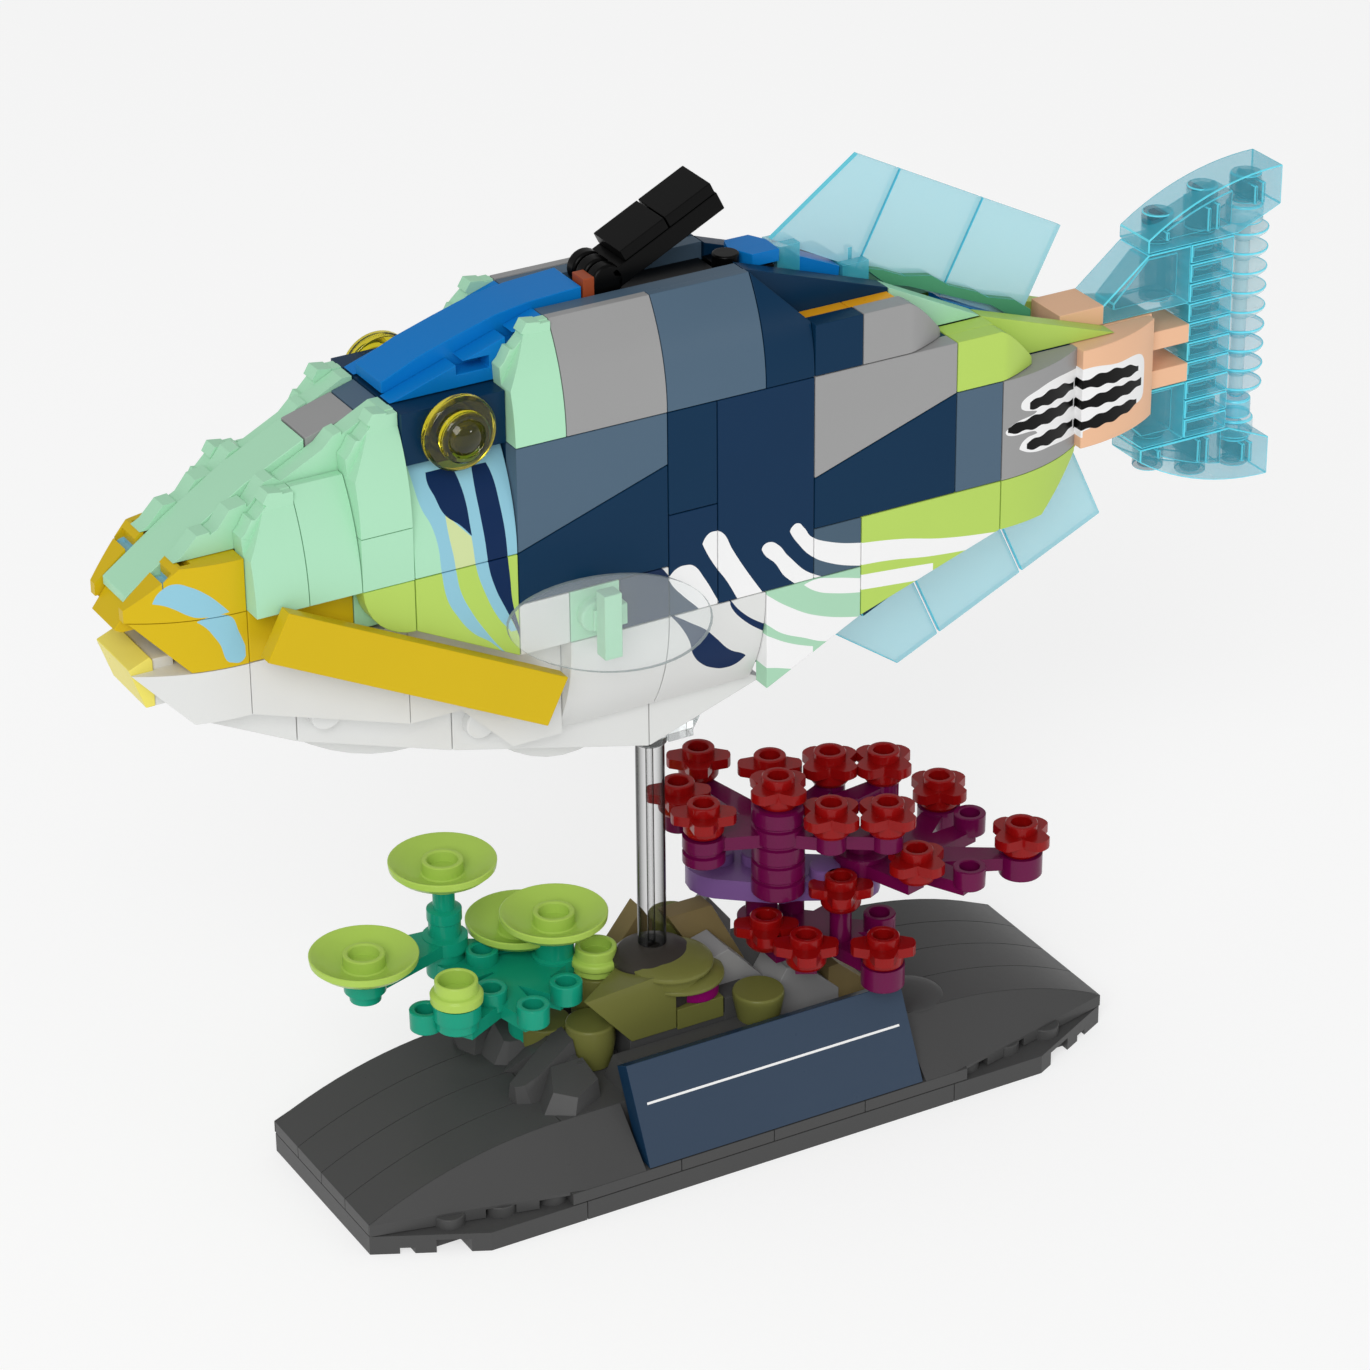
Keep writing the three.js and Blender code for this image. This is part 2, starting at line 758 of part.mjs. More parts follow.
// Stack of round plates along the tail's rear edge
{
  const profile = [[0, TAIL_MIDDLE - 19]];
  const count = 12;
  const pitch = (2 * 19) / count;
  for (let k = 0; k < count; k++) {
    const z = TAIL_MIDDLE - 19 + k * pitch;
    profile.push([2.6, z], [3.9, z + pitch - 1.1], [3.9, z + pitch - 0.25], [2.6, z + pitch - 0.02]);
  }
  profile.push([0, TAIL_MIDDLE + 19]);
  const g = new THREE.LatheGeometry(
    profile.map(([r, z]) => new THREE.Vector2(r, z)),
    14,
  );
  g.rotateX(Math.PI / 2);
  g.translate(gx(16.5) + 0.1, 0, 0);
  add("tail_discs", solid(g), COLOUR.cyan, GLASSY);
}

// Pectoral fins: clear ovals held by the clip on each flank
const OVAL = { x: -22.6, z: 96.2, long: 17.4, wide: 8.6, tilt: -0.09, at: 18.2, thick: 1.2 };
for (const [side, word] of SIDES) {
  const points = [];
  for (let k = 0; k < 28; k++) {
    const a = (2 * Math.PI * k) / 28;
    const u = OVAL.long * Math.cos(a);
    const v = OVAL.wide * Math.sin(a) * (1 + 0.12 * Math.cos(a));
    const c = Math.cos(OVAL.tilt);
    const s = Math.sin(OVAL.tilt);
    points.push([OVAL.x + u * c - v * s, OVAL.z + u * s + v * c]);
  }
  const sheet = prism("xz", points, ...range(side, OVAL.at, OVAL.at + OVAL.thick));
  add("pectoral_fin_" + word, sheet, COLOUR.clear, GLASSY);
}

// Stand: base
const BASE = { halfX: 64, halfY: 24, endY: 16, lip: 5.15, top: 12.8, floor: PLATE };
const crest = (x) => {
  const run = 32;
  const rise = BASE.top - BASE.lip;
  const radius = (run ** 2 + rise ** 2) / (2 * rise);
  const t = Math.min(Math.max(Math.abs(x) - 32, 0), run);
  return BASE.top - (radius - Math.sqrt(radius ** 2 - t ** 2));
};
const edge = (x) => {
  const t = Math.max(Math.abs(x) - 32, 0) / 32;
  return BASE.halfY - (BASE.halfY - BASE.endY - 0.05) * t;
};
function loft(sections) {
  const positions = [];
  const n = sections[0].length;
  const push = (...corners) => corners.forEach((c) => positions.push(...c));
  for (let s = 0; s + 1 < sections.length; s++) {
    for (let k = 0; k < n; k++) {
      const a = sections[s][k];
      const b = sections[s][(k + 1) % n];
      const c = sections[s + 1][(k + 1) % n];
      const d = sections[s + 1][k];
      push(a, b, c, a, c, d);
    }
  }
  const ends = [sections[0], sections[sections.length - 1]];
  for (let k = 1; k + 1 < n; k++) {
    push(ends[0][0], ends[0][k + 1], ends[0][k]);
    push(ends[1][0], ends[1][k], ends[1][k + 1]);
  }
  const g = new THREE.BufferGeometry();
  g.setAttribute("position", new THREE.Float32BufferAttribute(positions, 3));
  return solid(g);
}
const stations = [];
for (let k = 0; k <= 8; k++) stations.push(-64 + 4 * k);
for (let k = 8; k >= 0; k--) stations.push(64 - 4 * k);
const baseTop = loft(
  stations.map((x) => [
    [x, -edge(x), BASE.floor - 0.05],
    [x, edge(x), BASE.floor - 0.05],
    [x, edge(x), BASE.lip],
    [x, BASE.endY, crest(x)],
    [x, -BASE.endY, crest(x)],
    [x, -edge(x), BASE.lip],
  ]),
);
const PLAQUE = { left: -21.5, right: 26.3, foot: 5.4, front: -24, height: 15.8, tilt: 0.4636, thick: 3.2 };
const outline = (half, inner, end, long) => [
  [-long, -inner], [-end, -half], [end, -half], [long, -inner],
  [long, inner], [end, half], [-end, half], [-long, inner],
];
const groove = (x) => box(x - 0.1, x + 0.1, -30, 30, -1, BASE.lip - 0.3).subtract(
  box(x - 1, x + 1, -23.6, 23.6, -2, 20),
);
const notch = (sx, sy) => {
  const g = new THREE.BoxGeometry(5.2, 4, 2).translate(sx * 54.5, sy * 21.5, 1);
  return solid(g);
};
add(
  "stand_base",
  join(
    prism("xy", outline(BASE.halfY, BASE.endY, 48, BASE.halfX), 0, BASE.floor),
    baseTop,
    box(-24, 2, -14.6, -8.3, 12, 16),
  )
    .subtract(box(PLAQUE.left - 0.4, PLAQUE.right + 0.4, -25, -15.2, BASE.lip, 30))
    .subtract(join([-32, -16, 0, 16, 32].map(groove)))
    .subtract(join(notch(-1, -1), notch(1, -1), notch(-1, 1), notch(1, 1))),
  COLOUR.darkGray,
);
{
  const g = new THREE.BoxGeometry(PLAQUE.right - PLAQUE.left, PLAQUE.thick, PLAQUE.height);
  g.translate((PLAQUE.left + PLAQUE.right) / 2, PLAQUE.thick / 2, PLAQUE.height / 2);
  g.rotateX(-PLAQUE.tilt);
  g.translate(0, PLAQUE.front, PLAQUE.foot);
  const cutBelow = box(-60, 60, -40, 0, -10, PLAQUE.foot + 0.02);
  const foot = box(PLAQUE.left, PLAQUE.right, -22, -18, PLAQUE.foot + 0.02, 9);
  add("stand_plaque", join(solid(g).subtract(cutBelow), foot), COLOUR.plaqueBlue);
}

// Stand: clear rod with its collar
const ROD = { x: -7.4, radius: 2.4, foot: 29.4, head: 65.6 };
{
  const g = new THREE.CylinderGeometry(ROD.radius, ROD.radius, ROD.head - ROD.foot, 16);
  g.rotateX(Math.PI / 2);
  g.translate(ROD.x, 0, (ROD.head + ROD.foot) / 2);
  add(
    "stand_rod",
    join(solid(g), box(ROD.x, ROD.x + 6.5, -2, 2, 62.4, 65.4)),
    COLOUR.clear,
    GLASSY,
  );
}

// Round pieces for the hill, the plant and the coral
function turned(x, y, profile, segments = 14) {
  const g = new THREE.LatheGeometry(
    profile.map(([r, z]) => new THREE.Vector2(r, z)),
    segments,
  );
  g.rotateX(Math.PI / 2);
  g.translate(x, y, 0);
  return solid(g);
}
const disc = (x, y, z, r, h, segments = 14) =>
  turned(x, y, [[0, z], [r, z], [r, z + h], [0, z + h]], segments);
function strut(a, b, width, height) {
  const from = new THREE.Vector3(...a);
  const to = new THREE.Vector3(...b);
  const way = to.clone().sub(from);
  const g = new THREE.BoxGeometry(way.length(), width, height);
  const m = new THREE.Matrix4();
  const along = way.clone().normalize();
  const across = new THREE.Vector3(0, 0, 1).cross(along).normalize();
  const up = along.clone().cross(across);
  m.makeBasis(along, across, up);
  m.setPosition(from.add(to).multiplyScalar(0.5));
  g.applyMatrix4(m);
  return solid(g);
}
const ramp = (points, y0, y1) => prism("xz", points, y0, y1);

// Stand: hill of olive, tan and light gray bricks round the foot of the rod
const HILL_FOOT = 13.1;
add(
  "stand_hill",
  join(
    box(-16, 20, -7.9, 14, HILL_FOOT, 18),
    ramp([[-23.4, 26.8], [-7.6, 26.8], [-7.6, 17], [-15.6, 17]], -7.9, 0),
    box(-8.2, 0.5, -7.9, 0, 16.6, 20.1),
    disc(-3.5, -4, 19.9, 3.3, 3.4),
    turned(-4.5, -1, [[0, 23.2], [7.4, 23.2], [7.4, 25], [4.5, 27], [0, 27.4]], 18),
    turned(ROD.x, 0.6, [[0, 17], [8, 17], [8, 26], [6, 28.4], [0, 28.9]], 18),
    ramp([[0, 15], [0, 25], [4.3, 25.6], [9.4, 19.3], [9.4, 15]], -4, 3),
    turned(6.6, -8, [[0, HILL_FOOT], [2.8, HILL_FOOT], [4.3, 19.6], [4.3, 20.9], [0, 20.9]], 12),
    ramp([[8.7, HILL_FOOT], [8.7, 21.2], [12.6, 21.7], [20.8, 15.7], [20.8, HILL_FOOT]], -7.9, 0),
    ramp([[19, HILL_FOOT], [19, 19.6], [21, 19.3], [27, 14.2], [27, HILL_FOOT]], -7.9, 0),
    ramp([[-2, 15], [-2, 27], [3, 27], [11.5, 19.4], [11.5, 15]], 4, 12),
    disc(2.2, 10, 17, 3.6, 9.2, 12),
    ramp([[6, 14], [6, 23], [9, 25], [13, 20], [13, 14]], 10.5, 14),
    ramp([[-11, 15], [-11, 24], [-6, 28], [-2, 24], [-2, 15]], 7.6, 12),
    disc(-15.5, 3.5, HILL_FOOT, 3.9, 11, 12),
    turned(-15.5, 3.5, [[0, 23.9], [3.9, 23.9], [3.9, 26.2], [3.3, 26.3], [3.3, 28], [0, 28]], 12),
    disc(-20.2, -3.6, HILL_FOOT, 3.8, 7, 12),
    disc(-14, 9.6, HILL_FOOT, 3.8, 9, 12),
  ).subtract(
    join(
      box(-27, -20.6, -6.8, 0.3, 21.5, 30),
      box(-22, -16.8, 3.6, 11, 21.5, 30),
      disc(ROD.x, 0, ROD.foot - 0.3, ROD.radius + 0.3, 6, 16),
    ),
  ),
  COLOUR.olive,
);

// Stand: dark rocks left of the hill
const ROCKS = [
  [-31, -9.5, 6, 5, 18.5, 0.3],
  [-27.5, -4, 4, 5, 19.5, -0.2],
  [-33, -2, 5, 5, 19, 0.5],
  [-29, 4.5, 5, 5, 20, 0.1],
];
add(
  "stand_rocks",
  join(
    box(-36, -24.6, -11, 7.5, HILL_FOOT, 15),
    ROCKS.map(([x, y, rx, ry, top, turn]) => {
      const g = new THREE.CylinderGeometry(0.35, 1, 1, 5);
      g.rotateX(Math.PI / 2);
      g.scale(rx, ry, top - HILL_FOOT);
      g.rotateZ(turn);
      g.translate(x, y, (top + HILL_FOOT) / 2);
      return solid(g);
    }),
  ).intersect(box(-44, -24.4, -14.6, 15.5, HILL_FOOT, 40)),
  COLOUR.darkGray,
);

// Branches lie on a turned grid, one stud apart
const turnedGrid = (x, y, angle) => (a, b) => [
  x + STUD * (a * Math.cos(angle) - b * Math.sin(angle)),
  y + STUD * (a * Math.sin(angle) + b * Math.cos(angle)),
];
const cup = (x, y, top, r = 2.8, h = 4.4) =>
  turned(
    x,
    y,
    [[0, top - h], [r - 0.6, top - h], [r, top - h + 1], [r, top], [1.7, top], [1.7, top - 1.6], [0, top - 1.6]],
    10,
  );
const branch = ([x0, y0], [x1, y1], z, width = 3.4, height = 2.4) =>
  strut([x0, y0, z], [x1, y1, z], width, height);

// Stand: plant with teal branches, lime dishes and small rounds
const LEAF = 24.6; // middle height of the teal branches
const leaf = turnedGrid(-27.2, 4.1, 0.4226);
const PLANT_CUPS = [leaf(0, -1), leaf(-1, -1), leaf(0, 1), leaf(1, 0), leaf(-2, 0), leaf(-1, 0)];
const PLANT_ENDS = [[-34.6, 15.5], [-51.1, 9.3], [-22.5, 14.5]];
const dish = (x, y, top) =>
  turned(
    x,
    y,
    [
      [0, top - 4.6],
      [3, top - 4.6],
      [8.1, top - 2],
      [8.2, top - 1],
      [3.4, top - 2.2],
      [3.3, top],
      [2.5, top],
      [2.5, top - 1.7],
      [0, top - 1.7],
    ],
    18,
  );
add(
  "stand_plant",
  join(
    disc(...leaf(0, 0), HILL_FOOT, 2.6, LEAF - HILL_FOOT, 10),
    disc(...leaf(0, 0), LEAF - 1.6, 4.4, 3.2, 12),
    PLANT_CUPS.map((end) => branch(leaf(0, 0), end, LEAF)),
    PLANT_CUPS.map(([x, y]) => cup(x, y, LEAF + 3.3)),
    PLANT_ENDS.map((end) => branch(leaf(-1, 0.6), end, LEAF)),
    branch(leaf(0, 0), leaf(-1, 0.6), LEAF),
    disc(...PLANT_ENDS[0], LEAF - 1.6, 2.2, 12, 10),
    disc(...PLANT_ENDS[0], LEAF + 10, 1.6, 5, 10),
    dish(...PLANT_ENDS[0], 42.7),
    disc(...PLANT_ENDS[1], LEAF - 1.6, 2.9, 7.4, 10),
    dish(...PLANT_ENDS[1], 34.5),
    disc(-20.3, 7.2, LEAF - 1.6, 2.9, 6.8, 10),
    dish(-20.3, 7.2, 33.7),
    disc(...PLANT_ENDS[2], LEAF - 1.6, 2.9, 3, 10),
    dish(...PLANT_ENDS[2], 29.6),
    disc(...leaf(-2, 0), LEAF, 2.9, 4.4, 10),
    turned(
      ...leaf(-2, 0),
      [[0, 28.2], [3.3, 28.2], [4, 29.4], [4, 31.4], [3.3, 31.5], [3.3, 33.3], [2.4, 33.3], [2.4, 31.6], [0, 31.6]],
      14,
    ),
  ).subtract(box(-36.3, -24.1, -15.8, 9.9, 10, 20.3)),
  COLOUR.teal,
);

// Stand: coral with magenta branches and red flower cups
const TRUNK = [12.4, -3.9];
const SIDE_TRUNK = [26.4, -5.3];
const HEIGHTS = { lower: 24, violet: 32.5, right: 35.4, upper: 43.4 };
const PETALS = 5;
function flower(x, y, top) {
  const petals = [];
  for (let k = 0; k < 2 * PETALS; k++) {
    const a = (Math.PI * k) / PETALS;
    const r = k % 2 ? 3.1 : 4.7;
    petals.push([x + r * Math.cos(a), y + r * Math.sin(a)]);
  }
  return join(
    turned(
      x,
      y,
      [
        [0, top - 6.6],
        [2.4, top - 6.6],
        [3.3, top - 4],
        [2.5, top - 2],
        [2.5, top],
        [1.7, top],
        [1.7, top - 1.7],
        [0, top - 1.7],
      ],
      8,
    ),
    prism("xy", petals, top - 3, top - 2),
  );
}
const UPPER_FLOWERS = [
  [9.4, 15.1], [17.5, 7.3], [26.9, 3.8], [33.4, 0], [1.4, 7.2], [1.3, -0.7],
  [18.6, -10.2], [25.4, -14.2],
];
const RIGHT_FLOWERS = [[44.2, 1], [47.2, -17.7], [29.2, -16.5]];
const RIGHT_CUPS = [[44.9, -6.8], [36, -20.7], SIDE_TRUNK];
const LOWER_FLOWERS = [[9.9, -4.6], [12.2, -12.6], [26.2, -0.2], [22.2, -18.5]];
const LOWER_CUPS = [[28.2, -8], [15.4, 5.2]];
add(
  "stand_coral",
  join(
    turned(...TRUNK, [[0, 22.1], [2.6, 22.1], [2.6, 33], [4, 33.2], [4, 48.3], [0, 48.3]], 14),
    flower(...TRUNK, 53.2),
    UPPER_FLOWERS.map(([x, y]) => flower(x, y, 50)),
    UPPER_FLOWERS.map((end) => branch(TRUNK, end, HEIGHTS.upper, 3, 2.2)),
    UPPER_FLOWERS.map(([x, y]) => disc(x, y, HEIGHTS.upper - 1, 2.3, 2, 8)),
    RIGHT_FLOWERS.map(([x, y], k) => flower(x, y, 42)),
    RIGHT_FLOWERS.slice(0, 2).map(([x, y]) => disc(x, y, HEIGHTS.right - 2.4, 3.9, 4.2, 10)),
    RIGHT_FLOWERS.map((end) => branch(SIDE_TRUNK, end, HEIGHTS.right, 3, 2.2)),
    RIGHT_CUPS.map((end) => branch([31, -9], end, HEIGHTS.right, 3, 2.2)),
    RIGHT_CUPS.map(([x, y]) => cup(x, y, 39)),
    turned(...SIDE_TRUNK, [[0, HEIGHTS.lower], [4, HEIGHTS.lower], [4, 37.5], [0, 37.5]], 12),
    branch([5, 10], [35, -7], HEIGHTS.violet, 7.6, 3.6),
    LOWER_FLOWERS.map(([x, y], k) => flower(x, y, k < 3 ? 30 : 33.2)),
    disc(...LOWER_FLOWERS[3], HEIGHTS.lower - 1.6, 3.9, 4.6, 10),
    [...LOWER_FLOWERS, ...LOWER_CUPS].map((end) => branch([19, -4], end, HEIGHTS.lower, 3.2, 2.2)),
    branch(TRUNK, SIDE_TRUNK, HEIGHTS.lower, 5, 2.2),
    LOWER_CUPS.map(([x, y]) => cup(x, y, 27.6)),
    disc(5.5, -2.5, 33, 3.9, 6.4, 12),
    branch(TRUNK, [5.5, -2.5], 35, 4, 2.4),
  ),
  COLOUR.red,
);

export default root;
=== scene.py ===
"""Brick-built triggerfish on a clear rod, over a dark brick base with a plant, coral and a bare plaque."""

import math

import bpy
from bpy.props import FloatProperty, FloatVectorProperty, PointerProperty
from mathutils import Matrix, Vector


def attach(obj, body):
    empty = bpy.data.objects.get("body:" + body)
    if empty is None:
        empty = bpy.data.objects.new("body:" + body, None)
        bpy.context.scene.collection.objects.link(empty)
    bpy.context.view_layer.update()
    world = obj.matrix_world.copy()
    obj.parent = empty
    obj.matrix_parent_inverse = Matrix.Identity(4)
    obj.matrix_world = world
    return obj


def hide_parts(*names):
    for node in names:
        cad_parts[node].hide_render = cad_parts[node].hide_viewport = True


bl_info = {
    "name": "Brick triggerfish",
    "version": (1, 0, 0),
    "blender": (4, 5, 0),
    "location": "3D View > Sidebar > Triggerfish",
    "description": "Models a brick-built triggerfish with its display stand, studio light and camera",
    "category": "Add Mesh",
}

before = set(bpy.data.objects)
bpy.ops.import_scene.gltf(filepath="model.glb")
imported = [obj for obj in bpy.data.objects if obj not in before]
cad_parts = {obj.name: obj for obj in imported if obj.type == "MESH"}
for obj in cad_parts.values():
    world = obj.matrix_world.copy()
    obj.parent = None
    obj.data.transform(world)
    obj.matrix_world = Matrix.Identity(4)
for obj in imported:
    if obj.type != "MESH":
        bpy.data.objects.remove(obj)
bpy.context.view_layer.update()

# Sizes in millimetres, on the brick grid
MM = 0.001
STUD = 8
PLATE = 3.2
HALF = 3.9
LAYER = (4, 7.2, 10.4, 13.6)
BASE_TOP = 12.8
BASE_END = 63.95
FISH_X = -35.38
FISH_Z = 122.14
SLOPE_LENGTH = 16
SLOPE_HEIGHT = 6.4
SLOPE_RADIUS = 28.6
AXES = {"xz": (0, 2, 1), "xy": (0, 1, 2), "yz": (1, 2, 0)}


def gx(i):
    return FISH_X + STUD * i


def gz(j):
    return FISH_Z - STUD * j


def linear(code):
    """A colour code such as b4dc64 as the linear values that Blender's sockets take."""
    out = []
    for k in (0, 2, 4):
        c = int(code[k:k + 2], 16) / 255
        out.append(c / 12.92 if c <= 0.04045 else ((c + 0.055) / 1.055) ** 2.4)
    return tuple(out)


# Shader maths

class Wire:
    """A node's output that can be used in sums."""

    def __init__(self, finish, socket):
        self.finish = finish
        self.socket = socket

    def maths(self, operation, left, right):
        return self.finish.node("ShaderNodeMath", {"operation": operation}, {0: left, 1: right})

    def __add__(self, other):
        return self.maths("ADD", self, other)

    def __sub__(self, other):
        return self.maths("SUBTRACT", self, other)

    def __mul__(self, other):
        return self.maths("MULTIPLY", self, other)

    def __rsub__(self, other):
        return self.maths("SUBTRACT", other, self)

    __radd__ = __add__
    __rmul__ = __mul__

    def __gt__(self, other):
        return self.maths("GREATER_THAN", self, other)

    def __lt__(self, other):
        return self.maths("LESS_THAN", self, other)

    def either(self, other):
        return self.maths("MAXIMUM", self, other)

    def size(self):
        return self.maths("ABSOLUTE", self, 0)

    def wave(self):
        return self.maths("SINE", self, 0)


class Finish:
    """A material with its Principled shader and the object's own coordinates in millimetres."""

    def __init__(self, name):
        self.material = bpy.data.materials.new(name)
        self.material.use_nodes = True
        self.tree = self.material.node_tree
        self.shell = self.tree.nodes["Principled BSDF"]
        self.place = self.node("ShaderNodeTexCoord", output="Object")
        parts = self.node("ShaderNodeSeparateXYZ", {}, {0: self.place}).socket.node
        self.x, self.y, self.z = [Wire(self, parts.outputs[k]) * 1000 for k in range(3)]

    def node(self, kind, settings=None, inputs=None, output=0):
        made = self.tree.nodes.new(kind)
        for key, value in (settings or {}).items():
            setattr(made, key, value)
        for key, value in (inputs or {}).items():
            if isinstance(value, Wire):
                self.tree.links.new(value.socket, made.inputs[key])
            else:
                made.inputs[key].default_value = value
        return Wire(self, made.outputs[output])

    def put(self, **values):
        for key, value in values.items():
            socket = self.shell.inputs[key.replace("_", " ")]
            if isinstance(value, Wire):
                self.tree.links.new(value.socket, socket)
            else:
                socket.default_value = value

    def noise(self, scale, detail=2):
        return self.node("ShaderNodeTexNoise", {}, {"Vector": self.place, "Scale": scale, "Detail": detail})

    def mix(self, mask, under, over):
        return self.node(
            "ShaderNodeMix", {"data_type": "RGBA"}, {0: mask, 6: under, 7: over}, output=2)

    def clouded(self, base, scale, dark, light):
        """A colour that drifts between a darker and a lighter tone."""
        cloud = self.noise(scale)
        return self.mix(cloud, (*[c * dark for c in base], 1), (*[min(c * light, 1) for c in base], 1))

    def height(self, along, points):
        """A smooth line through points (along, height)."""
        first, last = points[0][0], points[-1][0]
        low = min(p[1] for p in points) - 1
        high = max(p[1] for p in points) + 1
        share = (along - first) * (1 / (last - first))
        curve = self.tree.nodes.new("ShaderNodeFloatCurve")
        line = curve.mapping.curves[0]
        line.points[0].location = (0, (points[0][1] - low) / (high - low))
        line.points[-1].location = (1, (points[-1][1] - low) / (high - low))
        for t, value in points[1:-1]:
            line.points.new((t - first) / (last - first), (value - low) / (high - low))
        curve.mapping.update()
        self.tree.links.new(share.socket, curve.inputs["Value"])
        return Wire(self, curve.outputs[0]) * (high - low) + low

    def band(self, along, across, lower, upper):
        """1 between two lines, from the start of the first to the end of the last."""
        start = max(lower[0][0], upper[0][0])
        end = min(lower[-1][0], upper[-1][0])
        inside = (across > self.height(along, lower)) * (across < self.height(along, upper))
        return inside * (along > start) * (along < end)


def opaque(name, code, prints=(), coat=0):
    """Glossy moulded plastic, with printed shapes (mask maker, colour code) laid over it in order."""
    finish = Finish(name)
    colour = finish.clouded(linear(code), 55, 0.965, 1.03)
    for shape, ink in prints:
        colour = finish.mix(shape(finish), colour, (*linear(ink), 1))
    finish.put(Base_Color=colour)
    finish.put(Roughness=finish.noise(900, 3) * 0.1 + 0.25)
    grain = finish.noise(5200, 2)
    sink = finish.noise(38, 1)
    bump = finish.node(
        "ShaderNodeBump", {}, {"Strength": 0.12, "Distance": 0.00004, "Height": grain + sink * 3})
    finish.put(Normal=bump)
    finish.put(Specular_IOR_Level=0.1, Coat_Weight=coat, Coat_Roughness=0.06)
    return finish.material


def see_through(name, code):
    """Clear tinted plastic that light passes through."""
    finish = Finish(name)
    finish.put(Base_Color=finish.clouded(linear(code), 60, 0.97, 1.02))
    finish.put(Roughness=finish.noise(700) * 0.03 + 0.03)
    finish.put(Transmission_Weight=1, IOR=1.46)
    return finish.material


def film(name, code, alpha):
    """Thin tinted sheet, drawn with plain transparency."""
    finish = Finish(name)
    finish.put(Base_Color=finish.clouded(linear(code), 40, 0.98, 1.01))
    finish.put(Roughness=finish.noise(500) * 0.05 + 0.12)
    finish.put(Alpha=finish.noise(30) * 0.03 + alpha)
    return finish.material


def rim_clear(name, code, alpha, rim):
    """Clear wall that darkens where it is seen edge on, as a glassy tube does."""
    finish = Finish(name)
    finish.put(Base_Color=finish.clouded(linear(code), 40, 0.9, 1))
    finish.put(Roughness=finish.noise(500) * 0.04 + 0.05)
    edge = finish.node("ShaderNodeLayerWeight", {}, {"Blend": 0.5}, output="Facing")
    finish.put(Alpha=edge * edge * rim + alpha)
    finish.put(Specular_IOR_Level=0.3)
    return finish.material


# Printed shapes, measured in millimetres on the flank

FLANK_STROKES = (
    ([(-11.6, 96.6), (-11, 95.2), (-9.3, 93.1), (-6.1, 89.6), (-3.3, 85)],
     [(-11.6, 96.2), (-10.2, 97.5), (-8.6, 97.7), (-7.4, 97.3), (-5.6, 94.8), (-3.3, 90.6), (-1.6, 88)]),
    ([(-6, 100.6), (-5.6, 99.6), (-4.2, 96.9), (-1.9, 93.4), (0.4, 89.2), (4.8, 83)],
     [(-6, 100.2), (-5.1, 101.6), (-4, 101.9), (-2.6, 101.3), (-1, 98.3), (0.9, 95), (4.8, 89)]),
    ([(3.8, 97.2), (4.4, 96), (6, 94.4), (7.9, 91.6), (13.1, 88), (20.6, 86)],
     [(3.8, 96.8), (4.4, 97.8), (5.3, 97.9), (6.5, 97.2), (8.3, 94.9), (12.6, 90.9), (20.6, 88.4)]),
    ([(8.5, 98.9), (8.8, 98.2), (9.7, 96.8), (12.1, 94), (15.4, 92), (20.6, 90.3)],
     [(8.5, 98.6), (9, 99.5), (9.7, 99.8), (10.9, 98.8), (12.1, 97.1), (15.4, 95.4), (20.6, 94)]),
)
LIME_STROKES = (
    ([(20, 90.4), (25, 90), (33, 88.8), (44, 88)],
     [(20, 94), (27, 93), (35, 91.2), (44, 90)]),
    ([(20, 86.4), (25.1, 85.9), (33, 85.2)],
     [(20, 88.8), (27, 88.2), (33, 87.6)]),
)
MINT_STROKES = (
    ([(10.6, 89.9), (13.1, 88), (15.5, 87.1), (21, 85.9)],
     [(10.6, 89.5), (13.1, 90), (15.4, 89.6), (21, 88.1)]),
    ([(4, 85.4), (5.1, 84.4), (7.4, 82.6), (10.7, 81.1), (15, 79.4), (21, 79)],
     [(4, 90.2), (5.1, 89.2), (8.4, 86.7), (13.1, 84.1), (21, 81.9)]),
    ([(4, 77.8), (6.5, 77.2), (12.5, 75)],
     [(4, 83.4), (5.1, 82.7), (8.4, 80.8), (12.5, 79.2)]),
)
BELLY_SHAPES = (
    ([(-11, 90), (-9.3, 87.7), (-7.9, 85.1), (-7, 82.5), (-5.2, 80.2), (-2.8, 78.6), (-0.9, 78),
      (0.9, 78.2), (2.3, 79.4)],
     [(-11, 90.4), (-8.1, 88.4), (-5.3, 86.4), (-3.5, 84.5), (-0.7, 81.5), (1.9, 79.9), (2.3, 79.5)]),
    ([(-1.4, 89.6), (-1, 88.7), (0.6, 86.7), (4.6, 83.4)],
     [(-1.4, 90.4), (0.5, 87.9), (4.6, 84.7)]),
)
TILE_CORNER = (
    ([(-22, 89), (-12, 89), (-11, 89.9), (-10, 88)],
     [(-22, 99), (-14, 99), (-11.5, 96.8), (-10, 94)]),
)
LIP_PATCHES = (
    ([(-87.9, 109.1), (-86.6, 108.8), (-85.2, 108.1), (-83.5, 107), (-82.3, 106.5), (-80.4, 106.4),
      (-77.9, 106.6)],
     [(-87.9, 109.2), (-86.6, 111.2), (-85.1, 111.9), (-83.2, 111.3), (-80.9, 109.8), (-79, 107.9),
      (-77.9, 106.6)]),
    ([(-82.4, 105.8), (-81.1, 104.6), (-80.3, 103.4), (-79.4, 101.8), (-78.6, 99.3), (-77.7, 98.8),
      (-76.6, 98.7), (-75.9, 99.4)],
     [(-82.4, 105.9), (-77.8, 105.9), (-76.7, 103.3), (-75.9, 101)]),
)
